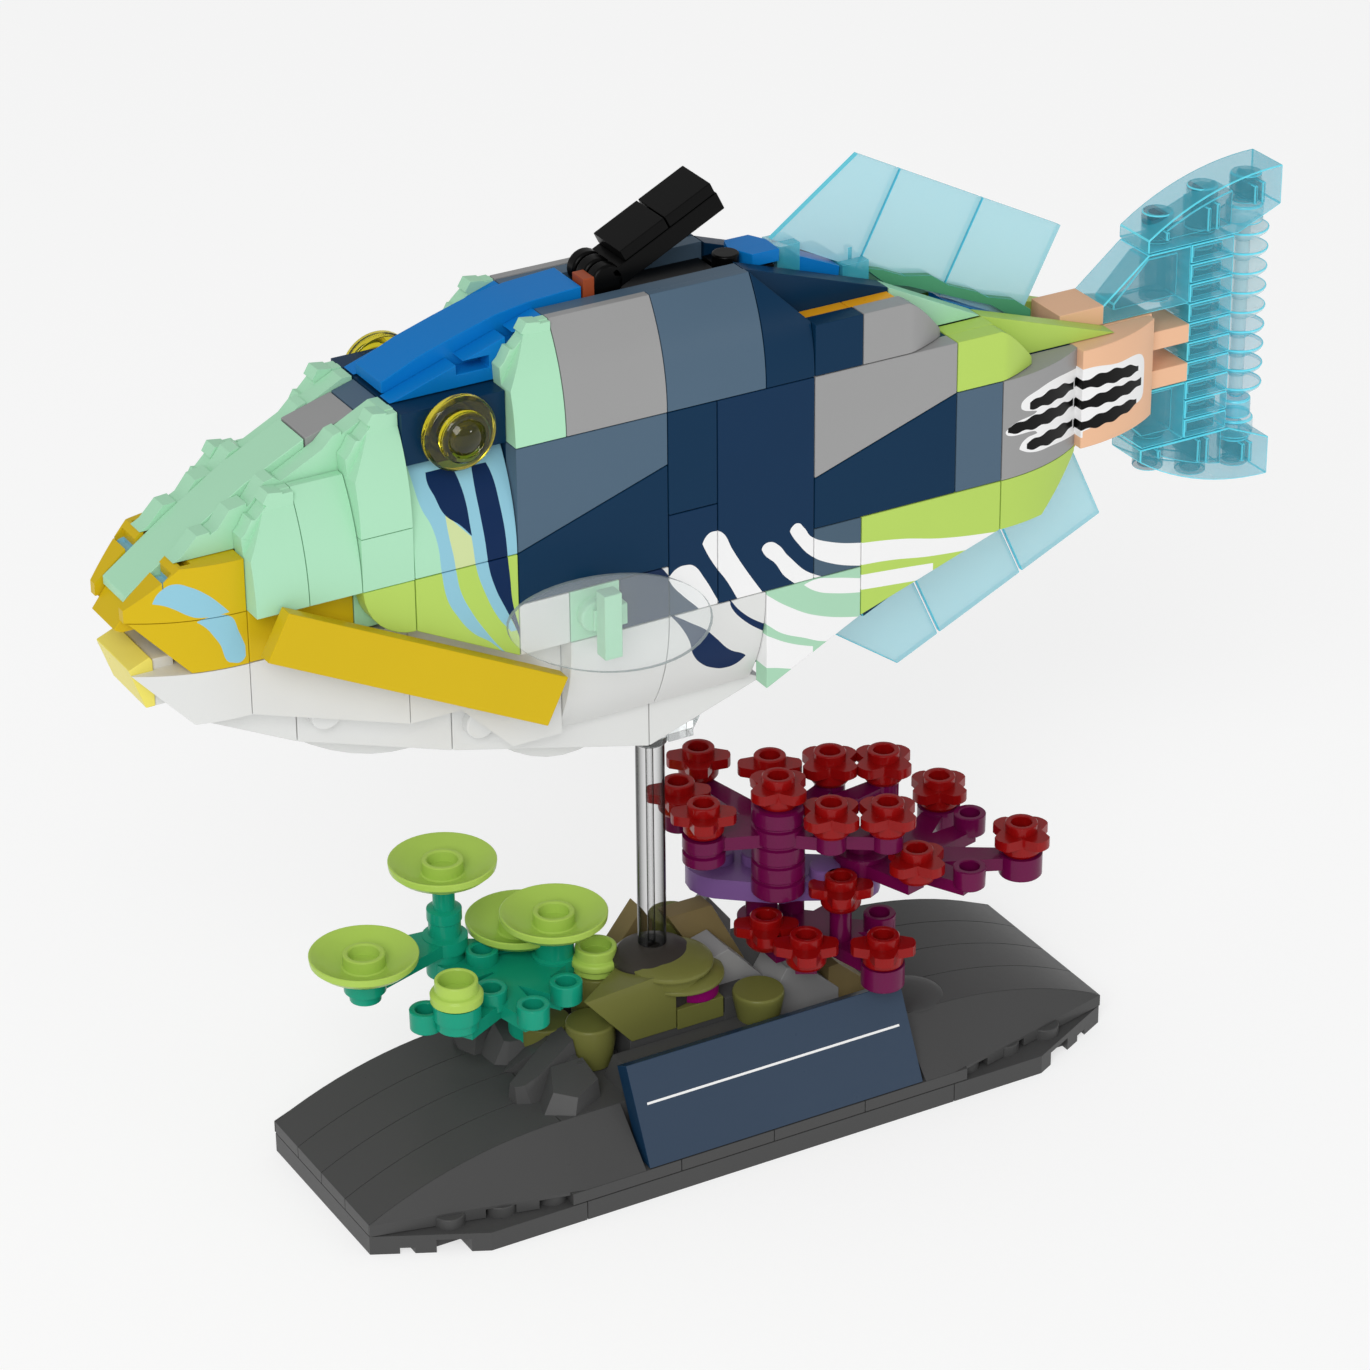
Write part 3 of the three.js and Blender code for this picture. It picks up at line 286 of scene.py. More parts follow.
STALK_FINGERS = (
    ([(47.9, 109.2), (48.2, 108.7), (51.5, 107.4), (53, 105), (61, 104)],
     [(47.9, 109.3), (48.6, 110.3), (51.1, 111), (54.4, 111.5), (57.6, 111.3), (61, 110.7)]),
    ([(45.2, 105.7), (45.9, 105.1), (50.8, 104.5), (52.5, 102), (61, 102)],
     [(45.2, 105.9), (47.3, 107), (50.7, 107.4), (52, 108.4), (61, 108.4)]),
    ([(47.8, 102.4), (50.9, 101.1), (54.9, 100.8), (58.1, 100.4), (61, 100)],
     [(47.8, 102.6), (49.3, 103.9), (51.4, 104.1), (53, 106), (61, 106)]),
    ([(60.5, 100.9), (65, 101.7), (69.3, 102.4), (73.1, 102.2), (74, 104)],
     [(60.5, 111.1), (62.7, 111.1), (67.2, 110.4), (72.6, 110), (74, 107)]),
)
FRONT_STRIPE = [
    (90, -37), (93.25, -39.7), (96, -43), (98.8, -45), (102.1, -46.6), (106.4, -47.3),
    (110.5, -47.6), (113.3, -48.2), (116, -49.3), (118.5, -49.7), (126, -50)]
FRONT_STRIPE_END = [
    (90, -36.5), (92.8, -38.9), (95.1, -40.5), (99.1, -42.9), (102.8, -44.5), (105.5, -45),
    (108, -45.3), (111.6, -45.8), (114.4, -45.9)]
REAR_STRIPE = [
    (90, -35), (92.2, -35.7), (93.6, -36.3), (97.2, -38.8), (101.5, -40.7), (105.5, -41.9),
    (110.4, -42.4), (114.4, -42.8)]
NAVY_STRIPE = [
    (92, -35.2), (94.4, -35.9), (98.1, -37.5), (101.9, -39.1), (105.4, -40), (109.6, -40.4),
    (113.5, -40.7), (117.1, -40.8), (119.6, -40.6)]
NAVY_STRIPE_END = [
    (92, -34.8), (94.4, -35.4), (99.5, -36.5), (102.5, -36.7), (106, -37), (110, -37.2),
    (113.9, -37.5), (117.5, -37.8), (119.9, -38.5)]
PANEL_NAVY = (
    ([(110.6, -42.4), (112.3, -43.8), (114.5, -46.1), (117, -47), (118.8, -47.6), (120.1, -47.5)],
     [(110.6, -42.3), (112, -42.4), (115, -42.5), (117.5, -42.8), (119.8, -43.4), (120.1, -43.6)]),
    (NAVY_STRIPE, NAVY_STRIPE_END),
)
CHEEK_BLUE = ((FRONT_STRIPE, FRONT_STRIPE_END), (REAR_STRIPE, NAVY_STRIPE[1:]))
STALK_WAVES = (
    ([(49.9, 108.9), (57, 108.8), (59.6, 108.4)], 49.6, 59.9),
    ([(45.5, 106), (52, 106), (59.6, 105.7)], 45.6, 59.9),
    ([(49.5, 102.5), (55, 102.4), (59.6, 102.3)], 49.2, 59.9),
    ([(60.6, 108.6), (66, 108.6), (72.8, 107.7)], 60.2, 72.4),
    ([(60.6, 105.3), (67, 105.5), (73.5, 105.3)], 60.2, 73.3),
    ([(60.6, 101.9), (66, 102.2), (72.5, 102.5)], 60.2, 72.2),
)


def printed(shapes, upright=False):
    """A mask of several shapes, each between its lower and its upper line."""
    def mask(f):
        along, across = (f.z, f.x) if upright else (f.x, f.z)
        whole = None
        for lower, upper in shapes:
            shape = f.band(along, across, lower, upper)
            whole = whole.either(shape) if whole else shape
        return whole
    return mask


def panel_blue(f):
    return f.x > f.height(f.z, FRONT_STRIPE)


def panel_lime(f):
    return f.band(f.z, f.x, FRONT_STRIPE_END, REAR_STRIPE) * (f.z < f.x * -1.12 + 62.95)


def stalk_black(f):
    """Wavy lines that swell towards their middle."""
    lines = None
    for points, start, end in STALK_WAVES:
        away = (f.z - f.height(f.x, points)).size()
        along = (f.x - start) * (1 / (end - start))
        swell = along * (along * -1 + 1) * 2.2
        width = swell + (f.x * 1.9).wave() * 0.16 + 0.52
        line = (away < width) * (f.x > start) * (f.x < end)
        lines = lines.either(line) if lines else line
    return lines


def plaque_rule(f):
    return ((f.z - 13.86).size() < 0.16) * (f.x > -19.45) * (f.x < 24.5)


# Modelling helpers

def deselect():
    if bpy.context.object and bpy.context.object.mode != "OBJECT":
        bpy.ops.object.mode_set(mode="OBJECT")
    bpy.ops.object.select_all(action="DESELECT")


def edit():
    bpy.ops.object.mode_set(mode="EDIT")
    bpy.ops.mesh.select_all(action="SELECT")


def settle(piece):
    """Puts the place, turn and size of the selected piece in its mesh, in object mode."""
    bpy.ops.object.mode_set(mode="OBJECT")
    bpy.ops.object.transform_apply(location=True, rotation=True, scale=True)
    return piece


def take(pieces):
    deselect()
    for piece in pieces:
        piece.select_set(True)
    bpy.context.view_layer.objects.active = pieces[0]


def paint(piece, finish):
    piece.data.materials.clear()
    piece.data.materials.append(FINISHES[finish])
    return piece


def winding(points):
    """1 for an outline that runs anticlockwise, -1 for one that runs clockwise."""
    area = sum(p[0] * q[1] - p[1] * q[0] for p, q in zip(points, points[1:] + points[:1]))
    return 1 if area > 0 else -1


def inset(points, gap):
    """A convex outline moved inwards by gap at every side."""
    turn = winding(points)
    moved = []
    for before, here, after in zip(points[-1:] + points[:-1], points, points[1:] + points[:1]):
        a = Vector((here[0] - before[0], here[1] - before[1])).normalized()
        b = Vector((after[0] - here[0], after[1] - here[1])).normalized()
        na = Vector((-a.y, a.x)) * turn
        nb = Vector((-b.y, b.x)) * turn
        half = (na + nb).normalized()
        reach = gap / max(half.dot(nb), 0.35)
        moved.append((here[0] + half.x * reach, here[1] + half.y * reach))
    return moved


def on_grid(points):
    return [(gx(i), gz(j)) for i, j in points]


def slice_off(point, normal):
    """In edit mode: cuts away what lies beyond a plane."""
    bpy.ops.mesh.select_all(action="SELECT")
    bpy.ops.mesh.bisect(
        plane_co=point, plane_no=Vector(normal).normalized(), use_fill=True, clear_outer=True,
        threshold=1e-7)


def slice_along(plane, start, end, turn=1):
    """In edit mode: cuts away what lies right of the line from start to end, left of it if turn is -1."""
    a, b, _ = AXES[plane]
    point, normal = [0, 0, 0], [0, 0, 0]
    point[a], point[b] = start[0] * MM, start[1] * MM
    normal[a], normal[b] = turn * (end[1] - start[1]), turn * (start[0] - end[0])
    slice_off(point, normal)


def cut(piece, plane, start, end):
    """Cuts away what lies right of the line from start to end."""
    take([piece])
    edit()
    slice_along(plane, start, end)
    bpy.ops.object.mode_set(mode="OBJECT")
    return piece


def prism(plane, points, low, high, material):
    """A cube at its size and place, with each slanted side of a convex outline cut off it."""
    a, b, c = AXES[plane]
    spans = [(0, 0)] * 3
    spans[a] = (min(p[0] for p in points), max(p[0] for p in points))
    spans[b] = (min(p[1] for p in points), max(p[1] for p in points))
    spans[c] = sorted((low, high))
    deselect()
    bpy.ops.mesh.primitive_cube_add(size=1, location=[sum(s) / 2 * MM for s in spans])
    piece = bpy.context.object
    piece.scale = [(s[1] - s[0]) * MM for s in spans]
    settle(piece)
    edit()
    for start, end in zip(points, points[1:] + points[:1]):
        if min(abs(end[0] - start[0]), abs(end[1] - start[1])) >= 1e-6:
            slice_along(plane, start, end, winding(points))
    bpy.ops.object.mode_set(mode="OBJECT")
    return paint(piece, material)


def box(x0, x1, y0, y1, z0, z1, material):
    return prism("xz", [(x0, z0), (x1, z0), (x1, z1), (x0, z1)], y0, y1, material)


def seam():
    return bpy.context.scene.triggerfish_bricks.seam / 2


def brick(points, gap=None):
    """An outline on the grid with the seam, or another gap, taken off all round."""
    return inset(on_grid(points), seam() if gap is None else gap)


def tile(points, near, far, material, gap=None):
    """Flat brickwork on the left flank: an outline on the grid between two distances from the middle."""
    return prism("xz", brick(points, gap), -far, -near, material)


def toothed(points, teeth, near, far, material):
    """A tile with small teeth along its slanted edge."""
    whole = tile(points, near, far, material)
    return fused([whole] + [tile(tooth, near, far, material, 0) for tooth in teeth])


def ridge_block(points, half, material):
    """A block across the middle: points give (grid column, height)."""
    return prism("xz", [(gx(i), z) for i, z in points], -half, half, material)


def middle(points, half, material, gap=None):
    """Brickwork across the middle of the fish, from its outline on the grid."""
    return prism("xz", brick(points, gap), -half, half, material)


def slope_profile(base, start, sign, steps=12):
    """The side of a curved slope brick: (along, distance from the middle)."""
    points = [(start, base + 0.1), (start + sign * SLOPE_LENGTH, base + 0.1)]
    for k in range(steps, -1, -1):
        t = SLOPE_LENGTH * k / steps
        rise = SLOPE_HEIGHT - SLOPE_RADIUS + math.sqrt(SLOPE_RADIUS ** 2 - t ** 2)
        points.append((start + sign * t, base + rise))
    return points


def slope_rows(i0, i1, thick, thin, base, material):
    sign = 1 if thin < thick else -1
    profile = slope_profile(base, gz(thick) + sign * seam(), sign)
    return prism("yz", [(-d, z) for z, d in profile], gx(i0) + seam(), gx(i1) - seam(), material)


def slope_columns(j0, j1, thick, thin, base, material):
    sign = 1 if thin > thick else -1
    profile = slope_profile(base, gx(thick) + sign * seam(), sign)
    return prism("xy", [(x, -d) for x, d in profile], gz(j1) + seam(), gz(j0) - seam(), material)


def grid_cut(piece, start, end):
    return cut(piece, "xz", (gx(start[0]), gz(start[1])), (gx(end[0]), gz(end[1])))


def turned(profile, x, y, material, sides=32):
    """A round piece: a filled circle is extruded ring by ring along profile (radius, height)."""
    radius, z = profile[0]
    deselect()
    bpy.ops.mesh.primitive_circle_add(
        vertices=sides, radius=radius * MM, fill_type="NGON", location=(x * MM, y * MM, z * MM))
    piece = bpy.context.object
    edit()
    for next_radius, next_z in profile[1:]:
        bpy.ops.mesh.extrude_region_move(
            TRANSFORM_OT_translate={"value": (0, 0, (next_z - z) * MM)})
        scale = next_radius / radius
        bpy.ops.transform.resize(
            value=(scale, scale, 1), center_override=(x * MM, y * MM, next_z * MM))
        radius, z = next_radius, next_z
    bpy.ops.mesh.select_all(action="SELECT")
    bpy.ops.mesh.normals_make_consistent(inside=False)
    return paint(settle(piece), material)


def lying(piece, x, z, side=-1):
    """Turns a round piece made about the z axis so that it points sideways from the fish at (x, z)."""
    piece.matrix_world = Matrix.Translation((x * MM, 0, z * MM)) @ Matrix.Rotation(
        -side * math.pi / 2, 4, "X")
    take([piece])
    return settle(piece)


def twin(piece):
    """A copy with its own mesh."""
    take([piece])
    bpy.ops.object.duplicate(linked=False)
    return bpy.context.object


def copied(piece, move=(0, 0, 0), turn=0):
    """A copy turned about the upright axis and then moved."""
    made = twin(piece)
    made.matrix_world = Matrix.Translation(Vector(move) * MM) @ Matrix.Rotation(turn, 4, "Z")
    return settle(made)


def mirrored(piece, scale):
    """A mirror copy, across the planes of the axes for which scale is -1."""
    made = twin(piece)
    made.scale = scale
    settle(made)
    edit()
    bpy.ops.mesh.normals_make_consistent(inside=False)
    bpy.ops.object.mode_set(mode="OBJECT")
    return made


def spread(piece, places):
    """Copies of a piece at several places, in place of the first one."""
    made = [copied(piece, place) for place in places]
    bpy.data.objects.remove(piece)
    return made


def joined(pieces):
    take(pieces)
    if len(pieces) > 1:
        bpy.ops.object.join()
    return bpy.context.object


def combined(piece, other, operation="DIFFERENCE"):
    """Takes another solid away from a piece, or joins the two into one."""
    take([piece])
    modifier = piece.modifiers.new("Solid", "BOOLEAN")
    modifier.operation = operation
    modifier.solver = "EXACT"
    modifier.object = other
    bpy.ops.object.modifier_apply(modifier=modifier.name)
    bpy.data.objects.remove(other)
    return piece


def fused(pieces):
    """One solid out of several that overlap."""
    whole = pieces[0]
    for piece in pieces[1:]:
        combined(whole, piece, "UNION")
    return whole


def finished(piece, name, nodes=(), bevel=0.14, segments=2, smooth=50, glint=None):
    """Rounds the edges, smooths the faces, hangs the piece under the root body and hides the CAD parts that
    it stands in for.
    """
    take([piece])
    piece.name = name
    piece.data.name = name
    if bevel:
        modifier = piece.modifiers.new("Edges", "BEVEL")
        # A glint finish goes on the bevel faces: a painted highlight along every rounded edge.
        if glint:
            piece.data.materials.append(FINISHES[glint])
            modifier.material = len(piece.data.materials) - 1
        modifier.width = bevel * MM
        modifier.segments = segments
        modifier.limit_method = "ANGLE"
        modifier.angle_limit = math.radians(25)
        modifier.use_clamp_overlap = True
        bpy.ops.object.modifier_apply(modifier=modifier.name)
    bpy.ops.object.shade_smooth_by_angle(angle=math.radians(smooth))
    if bevel:
        modifier = piece.modifiers.new("Normals", "WEIGHTED_NORMAL")
        modifier.keep_sharp = True
        bpy.ops.object.modifier_apply(modifier=modifier.name)
    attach(piece, "root")
    if nodes:
        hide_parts(*nodes)
    return piece


def edged(piece, finish):
    """Gives the tops and ends of a clear piece their own finish."""
    piece.data.materials.append(FINISHES[finish])
    for face in piece.data.polygons:
        face.material_index = 0 if abs(face.normal.y) > 0.9 else 1
    return piece


def both_sides(pieces, name, node, bevel=0.14):
    """Joins the bricks of the left side and mirrors them for the right side."""
    left = joined(pieces)
    right = mirrored(left, (1, -1, 1))
    for piece, side in ((left, "_left"), (right, "_right")):
        finished(piece, name + side, [node + side], bevel)


FINISHES = {}


def make_finishes():
    plain = {
        "mint": "acdfbd", "yellow": "d2b31a", "pale_yellow": "ecdf6a", "blue": "0a78c6",
        "navy": "0c304d", "slate": "506679", "gray": "9a9a9a", "lime": "b5d363",
        "nougat": "ecbc98", "white": "dcdddb", "black": "050505", "gold": "e9a51d",
        "rust": "9c4a2c", "dark_gray": "4c4c4c", "olive": "70713a", "tan": "7f6f4a",
        "light_gray": "8f8f8f", "teal": "149a7c", "dish_lime": "aecd5c", "red": "8c0a0a",
        "magenta": "640640", "violet": "78558f", "green": "4f9a72", "umber": "3b3733",
        "bright_magenta": "8a0c64",
    }
    coated = {"teal": 0.2, "red": 0.25, "magenta": 0.25, "dish_lime": 0.1, "olive": 0.08, "violet": 0.1}
    for name, code in plain.items():
        FINISHES[name] = opaque(name + "_plastic", code, coat=coated.get(name, 0))
    blue, ink, white, black = "8fc4d6", "0c2850", "f0f0f0", "0c0c0c"
    strokes = (printed(FLANK_STROKES), white)
    fingers = [(printed(STALK_FINGERS), white), (stalk_black, black)]
    for name, code, prints in (
            ("plaque_face", "374659", [(plaque_rule, white)]),
            ("plaque_side", "17344f", ()),
            ("navy_with_strokes", "10304f", [strokes]),
            ("slate_with_strokes", "4a5f70", [strokes]),
            ("lime_with_strokes", "b5d363", [(printed(LIME_STROKES), white)]),
            ("mint_with_strokes", "a8d4b6", [(printed(MINT_STROKES), white)]),
            ("white_with_strokes", "dcdddb", [(printed(BELLY_SHAPES), ink)]),
            ("white_with_navy", "dcdddb", [(printed(TILE_CORNER), "1a2c4c"), strokes]),
            ("mint_with_stripes", "acdfbd", [
                (panel_blue, blue), (panel_lime, "cddba0"), (printed(PANEL_NAVY, True), ink)]),
            ("lime_with_stripes", "b5d363", [
                (printed(CHEEK_BLUE, True), blue), (printed(PANEL_NAVY[1:], True), ink)]),
            ("yellow_with_patch", "d2b31a", [(printed(LIP_PATCHES), blue)]),
            ("gray_with_fingers", "9a9a9a", fingers),
            ("nougat_with_fingers", "ecbc98", fingers)):
        FINISHES[name] = opaque(name, code, prints)
    # cyan_glint is a painted highlight, laid on the bevels of clear pieces.
    for name, code, alpha in (
            ("cyan_sheet", "62cfe4", 0.26), ("cyan_edge", "4fcbe2", 0.5), ("cyan_inner", "0f6f86", 0.38),
            # fin_edge also goes on the bevels of the fins as a painted highlight.
            ("cyan_glint", "66e6fa", 0.88), ("pale_sheet", "cdeef4", 0.4), ("fin_sheet", "b6e8f2", 0.66),
            # clear_rim is painted gray darkening for the rims of colourless clear sheets.
            ("fin_edge", "62d9ee", 0.92), ("clear_sheet", "e8f2f2", 0.10), ("clear_rim", "8f9a9c", 0.75)):
        FINISHES[name] = film(name, code, alpha)
    FINISHES["clear"] = see_through("clear", "f6fafa")
    FINISHES["olive_clear"] = see_through("olive_clear", "cfc02c")
    FINISHES["rod_wall"] = rim_clear("rod_wall", "141616", 0.05, 2.4)


# Operators, one for each piece or group of like pieces

class Build(bpy.types.Operator):
    bl_options = {"REGISTER", "UNDO"}

    def execute(self, context):
        self.build()
        return {"FINISHED"}


class TRIGGERFISH_OT_cheeks(Build):
    """Mint curved slopes and wedge plates over the cheeks"""
    bl_idname = "triggerfish.cheeks"
    bl_label = "Cheeks"

    def build(self):
        front = slope_rows(-5, -4, 2, 0, LAYER[1], "mint")
        grid_cut(front, (-4.45, 0), (-5, 1))
        upper = slope_rows(-3, -2, 1, -1, LAYER[1], "mint")
        grid_cut(upper, (-2.45, -1), (-3, 0))
        both_sides([
            front,
            slope_rows(-4, -3, 2, 0, LAYER[1], "mint"),
            upper,
            tile([(-3, 1), (-2, 1), (-2, 2), (-3, 2)], LAYER[1], LAYER[3], "mint"),
            toothed([(-6.15, 1), (-2.2, -1), (-2, -1), (-2, 1)], [
                [(-6, 0.95), (-5.66, 0.6), (-5.42, 0.58), (-5.42, 0.8)],
                [(-5.35, 0.66), (-5.04, 0.27), (-4.72, 0.21), (-4.72, 0.5)],
                [(-4.66, 0.26), (-4.38, -0.1), (-4.2, -0.15), (-4.06, -0.04), (-4.2, 0.3)],
                [(-3.4, -0.32), (-3.05, -0.66), (-2.9, -0.7), (-2.9, -0.4)],
            ], LAYER[0], LAYER[1] - 0.1, "mint"),
            toothed([(-5, 1), (-5.02, 0.66), (-4.36, 0), (-4, 0), (-4, 1)], [
                [(-4.97, 0.66), (-4.8, 0.36), (-4.68, 0.38), (-4.68, 0.7)],
                [(-4.58, 0.12), (-4.47, -0.06), (-4.2, -0.02), (-4.3, 0.3)]], LAYER[1], 10, "mint"),
            toothed([(-3, 0), (-3.02, -0.34), (-2.36, -1), (-2, -1), (-2, 0)], [
                [(-2.97, -0.34), (-2.8, -0.64), (-2.68, -0.62), (-2.68, -0.3)],
                [(-2.58, -0.88), (-2.47, -1.06), (-2.2, -1.02), (-2.3, -0.7)]], LAYER[1], 10, "mint"),
        ], "cheek", "cheek")


class TRIGGERFISH_OT_lips(Build):
    """Yellow curved slopes either side of the snout, and the lips in the middle"""
    bl_idname = "triggerfish.lips"
    bl_label = "Lips"

    def build(self):
        upper = slope_columns(1, 2, -5, -7, LAYER[0], "yellow_with_patch")
        grid_cut(upper, (-6.1, 1), (-7, 1.75))
        lower = slope_columns(2, 3, -5, -7, LAYER[0], "yellow_with_patch")
        grid_cut(lower, (-7, 1.95), (-6, 3))
        for i0, i1, j0, j1 in ((-6.05, -5.86, 1.16, 0.9), (-6.4, -6.2, 1.36, 1.1)):
            combined(upper, box(gx(i0), gx(i1), -8.2, -3, gz(j0), gz(j1), "yellow"))
        both_sides([upper, lower], "lip", "lip")
        lip = prism(
            "xz", [(-92.2, 104.6), (-91.2, 104), (-85, 104), (-85, 107.2), (-89.8, 107.8)],
            -HALF, HALF, "yellow")
        finished(lip, "front_lip", ["upper_lip"])
        chin = prism(
            "xz", [(-91.2, 98.9), (-88, 100.2), (-87.6, 99.6), (-87.6, 92.6), (-89, 92.6)],
            -5.6, 5.6, "pale_yellow")
        chin = joined([chin, box(-87.5, -84.4, -5.2, 5.2, 92.4, 99.6, "white")])
        finished(chin, "lower_lip_piece", ["lower_lip"])


class TRIGGERFISH_OT_faces(Build):
    """Printed face panels with the lime panel and rounded tile below"""
    bl_idname = "triggerfish.faces"
    bl_label = "Faces"

    def build(self):
        corner = [(-2, 2), (-2, 3)]
        for k in range(1, 9):
            a = math.pi / 2 * k / 8
            corner.append((-2 - math.sin(a), 2 + math.cos(a)))
        both_sides([
            slope_rows(-2, 0, 2, 0, LAYER[1], "mint_with_stripes"),
            tile([(-2, 2), (0, 2), (0, 4), (-2, 3)], LAYER[1], LAYER[3], "lime_with_stripes"),
            tile(corner, 10.6, LAYER[3], "lime"),
            tile([(-3, 2), (-2.5, 2), (-2.5, 2.9), (-3, 2.9)], LAYER[1], 10.4, "mint"),
        ], "face", "face")


class TRIGGERFISH_OT_eyes(Build):
    """Eyes: a navy block with a clear olive disc, ring and domed middle"""
    bl_idname = "triggerfish.eyes"
    bl_label = "Eyes"

    def build(self):
        x, z = gx(-1), gz(-0.5)
        disc = lying(turned(
            [(4.4, 11.1), (5.2, 11.3), (5.55, 12), (5.55, 12.9), (5.1, 13.5), (3.75, 13.6),
             (3.75, 14.6), (3.4, 15), (2.9, 15), (2.6, 14.5), (2, 15.2), (1, 15.6), (0.2, 15.7)],
            0, 0, "olive_clear", 48), x, z)
        both_sides([
            tile([(-2, -1), (0, -1), (0, 0), (-2, 0)], LAYER[1], 11, "navy"), disc,
        ], "eye_piece", "eye", 0.08)


class TRIGGERFISH_OT_back(Build):
    """Curved slopes along the back, with their inner strip"""
    bl_idname = "triggerfish.back"
    bl_label = "Back"

    def build(self):
        brow = grid_cut(slope_rows(0, 1, 0, -2, LAYER[1], "mint"), (0.55, -2), (0, -1))
        rear = grid_cut(slope_rows(5, 6, 0, -2, LAYER[1], "navy"), (6, -1), (5, -2))
        both_sides([
            brow,
            toothed([(0, -1), (-0.02, -1.34), (0.64, -2), (1, -2), (1, -1)], [
                [(0.03, -1.34), (0.2, -1.64), (0.32, -1.62), (0.32, -1.3)],
                [(0.42, -1.88), (0.53, -2.06), (0.8, -2.02), (0.7, -1.7)]], LAYER[1], 9.6, "mint"),
            slope_rows(1, 3, 0, -2, LAYER[1], "gray"),
            slope_rows(3, 5, 0, -2, LAYER[1], "slate"),
            rear,
            tile([(1, -2), (5, -2), (5, -1), (1, -1)], 4.6, LAYER[1], "slate"),
        ], "back_slopes", "back")


def corner_brick(i0, j0, material):
    """A brick whose outer end curves down and inwards."""
    outline = [(i0, j0 + 1), (i0, j0)]
    steps = [k / 8 for k in range(9)]
    outline += [(i0 + 0.95 + 0.9 * t, j0 + 0.83 * t ** 1.25) for t in steps]
    outline.append((i0 + 1.86, j0 + 1))
    piece = tile(outline, LAYER[2], LAYER[3], material)
    plan = [(gx(i0 + 1 + 0.88 * t), -13.6 + 3.1 * t ** 1.3) for t in steps]
    for start, end in zip(plan, plan[1:]):
        cut(piece, "xy", start, end)
    return piece


class TRIGGERFISH_OT_rear_back(Build):
    """Rear back: block, curved corners, gold plates and the wedge plates down to the tail"""
    bl_idname = "triggerfish.rear_back"
    bl_label = "Rear back"

    def build(self):
        both_sides([
            tile([(6, -1), (7, -1), (7, 0), (6, 0)], LAYER[2], LAYER[3], "navy"),
            corner_brick(7, -1, "gray"),
            corner_brick(9, 0, "lime"),
            tile([(6, -0.94), (7, -0.94), (7, 0), (6, 0)], LAYER[1], LAYER[2], "gold"),
            tile([(7, -0.94), (7.97, -0.94), (7.97, 0), (7, 0)], LAYER[1], LAYER[2], "gold"),
            tile([(9, 0), (10, 0), (10.9, 1), (9, 1)], LAYER[1], LAYER[2], "lime"),
            tile([(5, -2), (8, -1), (8, 0), (5, 0)], LAYER[0], LAYER[1], "navy"),
            tile([(8, -1), (10, 0), (8, 0)], LAYER[0], LAYER[1], "mint"),
            tile([(10, 0), (13, 1), (10, 1)], LAYER[0], LAYER[1], "lime"),
        ], "rear_back_bricks", "rear_back")


class TRIGGERFISH_OT_flanks(Build):
    """Flat tiles and wedge plates of the flanks"""
    bl_idname = "triggerfish.flanks"
    bl_label = "Flanks"

    def build(self):
        bricks = (
            ("slate", [(0, 0), (3, 0), (3, 1), (0, 2)]),
            ("navy", [(0, 2), (3, 1), (3, 3), (0, 3)]),
            ("navy", [(3, 0), (4, 0), (4, 2), (3, 2)]),
            ("navy_with_strokes", [(3, 2), (4, 2), (4, 4), (3, 4)]),
            ("navy_with_strokes", [(4, 0), (6, 0), (6, 4), (4, 4)]),
            ("gray", [(6, 0), (9, 0), (9, 1), (6, 2)]),
            ("navy", [(6, 2), (9, 1), (9, 3), (6, 3)]),
            ("slate_with_strokes", [(6, 3), (7, 3), (7, 4), (6, 4)]),
            ("slate", [(9, 1), (10, 1), (10, 3), (9, 3)]),
            ("white", [(0, 3), (1, 3), (1, 4), (0, 4)]),
            ("mint", [(1, 3), (2, 3), (2, 4), (1, 4)]),
            ("white_with_navy", [(2, 3), (3, 3), (3, 4), (2, 4)]),
        )
        pieces = [tile(points, LAYER[2], LAYER[3], name) for name, points in bricks]
        pieces += [
            lying(turned([(2.4, 13.4), (2.4, 15), (2.2, 15.2)], 0, 0, "mint", 28), gx(1.42), gz(3.5)),
            box(gx(1.33), gx(2), -15.8, -13.5, gz(4) + 2, gz(3) - 2.7, "mint"),
            box(gx(1.375), gx(1.725), -18.3, -15.7, gz(4) - 1.6, gz(3) + 0.5, "mint"),
        ]
        both_sides(pieces, "flank_bricks", "flank")
        both_sides([
            tile([(7, 3), (10, 3), (10, 4), (7, 5)], LAYER[2], LAYER[3], "lime_with_strokes"),
            tile([(5, 4), (7, 4), (7, 5), (5, 6)], LAYER[2], LAYER[3], "mint_with_strokes"),
        ], "lower_flank_bricks", "lower_flank")


class TRIGGERFISH_OT_stalk(Build):
    """Tail stalk: gray, lime and nougat curved slopes"""
    bl_idname = "triggerfish.stalk"
    bl_label = "Tail stalk"

    def build(self):
        lime = slope_columns(3, 4, 10, 12, LAYER[1], "lime")
        grid_cut(lime, (11, 4), (11.9, 3.2))
        both_sides(
            [slope_columns(1, 3, 10, 12, LAYER[1], "gray_with_fingers"), lime],
            "stalk_slopes", "stalk_side")
        both_sides(
            [slope_columns(1, 3, 12, 14, LAYER[0], "nougat_with_fingers")], "stalk_tips",
            "stalk_end")
        pieces = [
            middle([(12, 0.6), (13, 0.6), (13, 1), (12, 1)], HALF, "nougat"),
            middle([(12, 1), (14.1, 1), (14.1, 3.1), (12, 3.1)], HALF, "nougat"),
            middle([(12, 3), (12.7, 3), (12.3, 3.6), (12, 3.6)], HALF, "yellow"),
        ]
        for low in (gz(1) - 4 * PLATE, gz(1) - 2 * PLATE):
            pieces.append(box(gx(14), gx(14.96), -HALF, HALF, low + 0.1, low + PLATE - 0.1, "nougat"))
        finished(joined(pieces), "stalk_middle", ["tail_stalk"])


